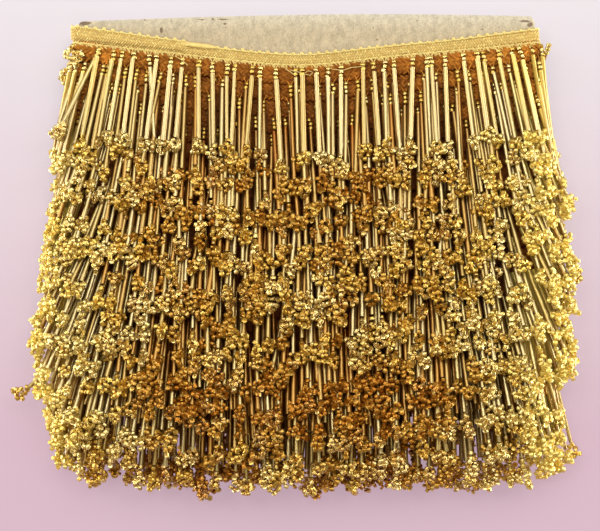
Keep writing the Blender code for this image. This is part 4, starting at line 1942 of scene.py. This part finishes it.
@dataclass
class PressedCard:
    """The greyboard card that the braid is wound on, with its crowned bare edge."""

    form: WoundForm
    below_braid: float = 172 * MM
    crown_above: float = 10.8 * MM
    crown: float = 3.7 * MM
    crown_centre: float = 36 * MM
    crown_power: float = 1.7
    corner: float = 3 * MM
    edge_waver: float = 0.05 * MM
    edge_round: float = 0.5 * MM
    edge_steps: int = 2
    flat: float = 1e-7
    sharp_angle: float = math.radians(50)
    column: float = 1.5 * MM
    seed: int = 3

    def outline(self) -> list[Pair]:
        """Works out the card's outline from its middle, counter-clockwise.

        Returns:
            Its points, with the drop negative.
        """
        chance = random.Random(self.seed)
        half = self.form.card_width / 2
        columns = int(2 * half / self.column)
        points = []
        for index in range(columns + 1):
            x = half - 2 * half * index / columns
            share = (x - self.crown_centre) / (half + self.crown_centre)
            y = self.crown_above - self.crown * abs(share) ** self.crown_power
            from_end = half - abs(x)
            if from_end < self.corner:
                y -= self.corner - math.sqrt(self.corner**2 - (self.corner - from_end) ** 2)
            points.append((x, y + chance.gauss(0, self.edge_waver)))
        return points + [(-half, -self.below_braid), (half, -self.below_braid)]

    def build(self, name: str, material: Material) -> bpy.types.Object:
        """Makes the card.

        Args:
            name: The object's name.
            material: Its material.

        Returns:
            The card.
        """
        form = self.form
        board = bmesh.new()
        lower = form.card_level - form.card_half
        rim = [board.verts.new((form.centre_x + x, form.braid_y + y, lower)) for x, y in self.outline()]
        face = board.faces.new(rim)
        grown = bmesh.ops.extrude_face_region(board, geom=[face])
        raised = [item for item in grown["geom"] if isinstance(item, bmesh.types.BMVert)]
        bmesh.ops.translate(board, verts=raised, vec=(0, 0, form.card_thickness))
        bmesh.ops.recalc_face_normals(board, faces=board.faces)
        level = [edge for edge in board.edges if abs(edge.verts[0].co.z - edge.verts[1].co.z) < self.flat]
        bmesh.ops.bevel(
            board, geom=level, offset=self.edge_round, segments=self.edge_steps, profile=0.5,
            affect="EDGES", clamp_overlap=True,
        )
        mesh = bpy.data.meshes.new(name)
        board.to_mesh(mesh)
        board.free()
        mesh.shade_smooth()
        mesh.set_sharp_from_angle(angle=self.sharp_angle)
        mesh.materials.append(material)
        return add_object(name, mesh)


# ---- The studio ----


@dataclass
class Studio:
    """A pale light table, soft lights and a camera straight above."""

    view_width: float = 288 * MM
    view_centre: Pair = (2.3 * MM, -4.7 * MM)
    view_level: float = 25 * MM
    camera_height: float = 1.0
    camera_range: Pair = (0.01, 20.0)
    sensor: float = 36.0
    floor_size: float = 6.0
    floor_near: Colour = (0.696, 0.505, 0.627, 1)
    floor_far: Colour = (0.815, 0.781, 0.855, 1)
    floor_blend: Pair = (-90 * MM, 125 * MM)
    floor_glow: float = 0.6
    floor_roughness: float = 0.9
    world_colour: Colour = (1.0, 0.72, 0.38, 1)
    world_strength: float = 0.3
    key_colour: Triple = (1.0, 0.97, 0.92)
    lamp_colour: Triple = (1.0, 0.98, 0.94)
    sparkle_size: float = 0.24
    sparkle_power: float = 1.2

    def build(self) -> None:
        """Makes the floor, the lights, the world and the camera."""
        bpy.context.scene.view_settings.view_transform = "Standard"
        self._floor()
        self._world()
        self._light("key", (-0.1, 0.62, 1.0), (2.4, 0.9), 13.3, self.key_colour)
        self._light("left_side", (-0.8, 0.0, 0.09), (0.9, 0.14), 5.0, self.lamp_colour)
        self._light("right_side", (0.8, 0.0, 0.09), (0.9, 0.14), 6.0, self.lamp_colour)
        for name, place in (
            ("sparkle_left", (-0.45, 0.30, 1.25)),
            ("sparkle_right", (0.40, 0.45, 1.20)),
            ("sparkle_low", (0.05, -0.35, 1.30)),
        ):
            size = (self.sparkle_size, self.sparkle_size)
            self._light(name, place, size, self.sparkle_power, self.lamp_colour)
        self._camera()

    def _floor(self) -> None:
        """Makes the floor, a little paler away from the camera's lower edge."""
        half = self.floor_size / 2
        mesh = bpy.data.meshes.new("floor")
        corners = [(-half, -half, 0), (half, -half, 0), (half, half, 0), (-half, half, 0)]
        mesh.from_pydata(corners, [], [(0, 1, 2, 3)])
        sketch = MaterialSketch("Pale Floor")
        away = sketch.remap(sketch.coordinate(sketch.place, "Y"), self.floor_blend)
        colour = sketch.mix(away, self.floor_near, self.floor_far)
        inputs = {
            "Base Color": sketch.scaled(colour, 1 - self.floor_glow),
            "Emission Color": colour,
            "Emission Strength": self.floor_glow,
            "Roughness": self.floor_roughness,
        }
        mesh.materials.append(sketch.finish(inputs))
        floor = add_object("floor", mesh)

    def _world(self) -> None:
        """Makes a dim, even world."""
        world = bpy.data.worlds.new("Studio")
        world.use_nodes = True
        background = world.node_tree.nodes["Background"]
        background.inputs["Color"].default_value = self.world_colour
        background.inputs["Strength"].default_value = self.world_strength
        bpy.context.scene.world = world

    @staticmethod
    def _light(name: str, place: Triple, size: Pair, power: float, colour: Triple) -> None:
        """Makes a soft light that shines at the roll.

        Args:
            name: The light's name.
            place: Where it is.
            size: Its width and its depth.
            power: Its power in watts.
            colour: Its colour.
        """
        light = bpy.data.lights.new(name, "AREA")
        light.shape = "RECTANGLE"
        light.size, light.size_y = size
        light.energy = power
        light.color = colour
        lamp = add_object(name, light)
        lamp.location = place
        lamp.rotation_euler = (-Vector(place)).to_track_quat("-Z", "Y").to_euler()

    def _camera(self) -> None:
        """Makes the camera, which looks straight down with +Y up."""
        camera = bpy.data.cameras.new("camera")
        camera.sensor_width = self.sensor
        camera.lens = self.sensor * (self.camera_height - self.view_level) / self.view_width
        camera.clip_start, camera.clip_end = self.camera_range
        holder = add_object("camera", camera)
        holder.location = (*self.view_centre, self.camera_height)
        bpy.context.scene.camera = holder


# ---- The roll ----


@dataclass(frozen=True)
class BeadTier:
    """Some turns of strands that make one piece, and the node that it stands for."""

    piece: str
    node: str
    first_turn: int
    last_turn: int


TIERS = (
    BeadTier(TOP_ROW, "top_fringe", 0, 0),
    BeadTier("tier_2_beads", "fringe_tier_2", 1, 3),
    BeadTier("tier_3_beads", "fringe_tier_3", 4, 6),
    BeadTier("tier_4_beads", "fringe_tier_4", 7, 9),
    BeadTier("tier_5_beads", "fringe_tier_5", 10, 12),
    BeadTier("tier_6_beads", "fringe_tier_6", 13, 15),
    BeadTier("tier_7_beads", "fringe_tier_7", 16, 19),
)


@dataclass
class FringeRoll:
    """The whole roll, dressed piece by piece."""

    form: WoundForm
    effects: SharedEffects
    bead_tree: BeadTree
    yarn_tree: YarnTree
    end_drop: float = -1.5 * MM
    bare_end_drop: float = -2.7 * MM
    thread_width: float = 0.45 * MM
    frayed_width: float = 0.4 * MM
    detailed_turns: int = 6
    threaded_turns: int = 3
    first_core_lift: float = -2.2 * MM
    inner_reach: float = 2 * MM
    # Painted shade on the inner turns: how much darker the deepest are, and the turns over which it grows.
    deep_turn_shade: float = 0.85
    shaded_turns: tuple[int, int] = (1, 7)

    def build(self) -> None:
        """Builds every piece."""
        # Seeds: painted shade round their belts and in their holes, and a painted highlight on their crests.
        seeds = GoldBeadFinish(
            "Gold Seeds",
            deep=(0.68, 0.435, 0.065, 1), middle=(0.80, 0.59, 0.13, 1), pale=(0.88, 0.76, 0.35, 1),
            belt_depth=0.25, crest_lift=0.3, smooth=0.21, rough=0.34, metallic=0.86,
            coat=0.5, coat_roughness=0.06, ripple=0.7,
        ).build(self.effects)
        # Bugles: a painted highlight down their middles and painted shade at their sides.
        bugles = GoldBeadFinish(
            "Gold Bugles",
            deep=(0.47, 0.24, 0.04, 1), middle=(0.46, 0.355, 0.12, 1), pale=(0.53, 0.455, 0.23, 1),
            belt_depth=0.0, crest=(0.05, 0.35), crest_lift=0.2, rim_start=0.5, rim_depth=0.9,
            smooth=0.30, rough=0.40, metallic=0.82, coat=0.25, coat_roughness=0.08,
            mottle_strength=0.15, ripple=0.05,
        ).build(self.effects)
        yarn = YarnFinish(
            "Gold Gimp", deep=(0.64, 0.41, 0.09, 1), colour=(0.98, 0.84, 0.32, 1)
        ).build(self.effects)
        # A shaded copy of the gimp: painted shade, deep orange and dark, with wide occlusion, for the turns
        # under the strands.
        inner_yarn = YarnFinish(
            "Shaded Gimp", deep=(0.14, 0.03, 0.004, 1), colour=(0.88, 0.37, 0.05, 1),
            sheen=0.0, shine=0.1, blotch_scale=95.0, blotch_strength=1.5, crevice=3.0 * MM,
        ).build(self.effects)
        board = BoardFinish(
            "Greyboard",
            colour=(0.56, 0.488, 0.343, 1), lit_edge_colour=(0.67, 0.65, 0.54, 1),
            speck_colour=(0.14, 0.08, 0.045, 1),
            bare_edge=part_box("card")[1][1],
            spots=self._worn_spots(),
        ).build(self.effects)
        winding = FringeWinding(self.form)
        strands = winding.lay()
        self._finish_piece(PressedCard(self.form).build("pressed_card", board), "greyboard", "card")
        self._top_gimp(strands, yarn)
        self._inner_gimp(winding, strands, inner_yarn)
        self._strands(strands, seeds, bugles)

    def _worn_spots(self) -> tuple[WornSpot, ...]:
        """Gives the card's frayed spots, from places and reaches in millimetres.

        Returns:
            The spots.
        """
        form = self.form
        spots = (
            (-107.5, 6.2, 4.0, 1.0), (-110.0, 3.6, 1.2, 1.6), (-70.1, 2.8, 0.8, 1.5),
            (-78.0, 7.6, 0.6, 0.4), (-50.6, 8.0, 2.2, 0.35), (-40.2, 8.1, 3.2, 0.35),
            (-45.0, 8.3, 0.6, 0.5), (-39.2, 5.9, 0.9, 0.6), (27.9, 5.2, 0.4, 0.35),
            (30.8, 3.0, 0.5, 0.3), (34.6, -1.6, 0.45, 0.4), (53.8, 7.7, 0.5, 0.3),
            (85.5, 3.4, 0.6, 0.3), (106.0, 7.2, 3.0, 0.6), (108.6, 5.6, 1.6, 1.2),
        )
        return tuple(
            WornSpot((form.centre_x + x * MM, form.braid_y + y * MM), (wide * MM, high * MM))
            for x, y, wide, high in spots
        )

    def _finish_piece(self, piece: bpy.types.Object, slot: str, *nodes: str) -> None:
        """Puts a piece on the roll's body.

        Args:
            piece: The piece.
            slot: Its material slot, which is not used.
            *nodes: The nodes that it stands for.
        """
        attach(piece, BODY)
        if nodes:
            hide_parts(*nodes)
        piece.data.calc_loop_triangles()
        log.info("%s: %d triangles", piece.name, len(piece.data.loop_triangles))

    def _top_gimp(self, strands: Sequence[Strand], yarn: Material) -> None:
        """Builds the top turn of braid and its loose end, their threads and frayed yarns.

        Args:
            strands: All the strands.
            yarn: The material.
        """
        braid = GimpBraid(self.form)
        end = GimpBraid(
            self.form, span=(-117 * MM, -57 * MM), base=0.9 * MM, core_width=5.2 * MM, plait_rows=4, seed=31
        )
        bare_end = GimpBraid(
            self.form, span=(-64 * MM, -43.0 * MM), base=0.8 * MM, core_width=2.8 * MM,
            core_thickness=1.3 * MM, core_column=1.0 * MM, taper=6.0 * MM,
        )
        chance = random.Random(braid.seed)
        cloud = PointCloud()
        braid.plaits(0.0, cloud, chance)
        braid.leaves(0.0, cloud, chance)
        end.plaits(self.end_drop, cloud, chance)
        plaits = run_nodes("plaits", cloud.mesh("plait_points"), self.bead_tree, {"Seed Material": yarn})
        edges = [
            braid.edge_yarn(0.0, 1, braid.picot_pitch, braid.picot_reach, chance),
            braid.edge_yarn(0.0, -1, braid.scallop_pitch, braid.scallop_reach, chance, braid.scallop_slant),
        ]
        loops = self._yarns("edge_loops", edges, braid.picot_yarn, yarn, closed=True)
        end_edge = end.edge_yarn(self.end_drop, 1, end.picot_pitch, end.picot_reach, chance)
        end_loops = self._yarns("end_loops", [end_edge], end.picot_yarn, yarn)
        hung = [strand for strand in strands if strand.turn == 0]
        threads = self._yarns("drop_threads", braid.drop_threads(hung), self.thread_width, yarn)
        frayed = self._yarns("frayed_yarns", self._frayed_lines(), self.frayed_width, yarn)
        # Painted shade: the braid's cores are dark where they show between the plaits; the bare end's is
        # even.
        cores = [
            braid.core("core", 0.0, yarn, glow=0.5),
            end.core("end_core", self.end_drop, yarn, glow=0.5),
            bare_end.core("bare_end", self.bare_end_drop, yarn, glow=1.0),
        ]
        piece = join_meshes("top_gimp", [*cores, plaits, loops, end_loops, threads, frayed])
        self._finish_piece(piece, "gold_braid", "top_heading")

    def _yarns(self, name: str, lines: Sequence[Line], thickness: float, yarn: Material,
               closed: bool = False) -> Mesh:
        """Makes round yarns along some lines, each one closed if it ends where it starts."""
        source = yarn_mesh(name + "_lines", lines, closed)
        return run_nodes(name, source, self.yarn_tree, {"Material": yarn, "Thickness": thickness})

    @staticmethod
    def _frayed_lines() -> list[Line]:
        """Gives the frayed yarns that hang off the top turn of braid, in the frame.

        Returns:
            The points along each yarn.
        """
        lines = (
            ((-4.9, 90.6, 17.6), (-2.0, 88.6, 18.6), (0.9, 86.2, 18.0)),
            ((-2.5, 89.9, 17.6), (0.4, 89.0, 18.8), (2.3, 88.6, 19.0), (3.4, 85.8, 19.0), (3.2, 82.9, 18.2)),
            ((4.6, 88.4, 18.0), (6.4, 89.4, 18.8), (8.6, 88.6, 18.6), (7.2, 87.2, 18.6), (4.8, 87.8, 18.2)),
            ((15.8, 91.5, 17.4), (18.2, 90.1, 18.2), (23, 89.6, 18.6), (27.3, 91, 18.6), (33.5, 91.6, 17.6)),
            ((-58.0, 96.6, 17.4), (-54.5, 94.4, 18.6), (-52.0, 92.0, 18.0)),
            ((96.0, 100.4, 17.4), (99.5, 98.2, 18.4), (101.0, 96.0, 17.8)),
        )
        return [[Vector(point) * MM for point in line] for line in lines]

    def _inner_gimp(self, winding: FringeWinding, strands: Sequence[Strand], yarn: Material) -> None:
        """Builds the turns of braid under the strands.

        Args:
            winding: How the strands are wound.
            strands: All the strands.
            yarn: The material.
        """
        braid = GimpBraid(
            self.form, core_width=9.4 * MM, core_thickness=1.1 * MM, end_widening=0.0, waver=1.3 * MM,
            middle_dark=0.55, plait_rows=4, plait_row_pitch=1.9 * MM, plait_pitch=2.6 * MM,
            plait_size=(1.15 * MM, 0.8 * MM, 3.8 * MM), plait_slant=math.radians(38),
            plait_height=1.2 * MM, plait_tones=(0.3, 0.95), seed=29,
        )
        chance = random.Random(braid.seed)
        cloud = PointCloud()
        meshes = []
        reach = self.form.quarter_run(0) + self.inner_reach
        for turn in range(1, winding.turns):
            drop = turn * winding.pitch
            lift = self.first_core_lift if turn == 1 else 0.0
            # Painted shade: each deeper turn is darker, as less light reaches it.
            glow = 1 - self.deep_turn_shade * smoothstep(*self.shaded_turns, turn)
            meshes.append(braid.core(f"core_{turn}", drop, yarn, lift, glow))
            if turn < self.detailed_turns:
                braid.plaits(drop, cloud, chance, reach, glow)
        points = cloud.mesh("inner_plait_points")
        meshes.append(run_nodes("inner_plaits", points, self.bead_tree, {"Seed Material": yarn}))
        hung = [strand for strand in strands if 0 < strand.turn < self.threaded_turns]
        meshes.append(self._yarns("inner_threads", braid.drop_threads(hung), self.thread_width, yarn))
        self._finish_piece(join_meshes("inner_gimp", meshes), "gold_braid", "wound_roll")

    def _strands(self, strands: Sequence[Strand], seeds: Material, bugles: Material) -> None:
        """Builds the strands, tier by tier.

        Args:
            strands: All the strands.
            seeds: The seed beads' material.
            bugles: The bugle beads' material.
        """
        log.info("%d strands", len(strands))
        threading = StrandBeads()
        materials = {"Seed Material": seeds, "Bugle Material": bugles}
        for tier in TIERS:
            cloud = PointCloud()
            for strand in strands:
                if tier.first_turn <= strand.turn <= tier.last_turn:
                    threading.thread(strand, cloud)
            for loose in LOOSE_STRANDS:
                if loose.tier == tier.piece:
                    loose.thread(threading, cloud)
            mesh = run_nodes(tier.piece, cloud.mesh(tier.piece + "_points"), self.bead_tree, materials)
            self._finish_piece(join_meshes(tier.piece, [mesh]), "gold_beads", tier.node)


def main() -> None:
    """Loads the frame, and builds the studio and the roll."""
    logging.basicConfig(level=logging.INFO, format="%(name)s: %(message)s")
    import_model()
    Studio().build()
    form = WoundForm.from_frame()
    FringeRoll(form, SharedEffects(), BeadTree(), YarnTree()).build()
    bpy.context.view_layer.update()


if __name__ == "__main__":
    main()
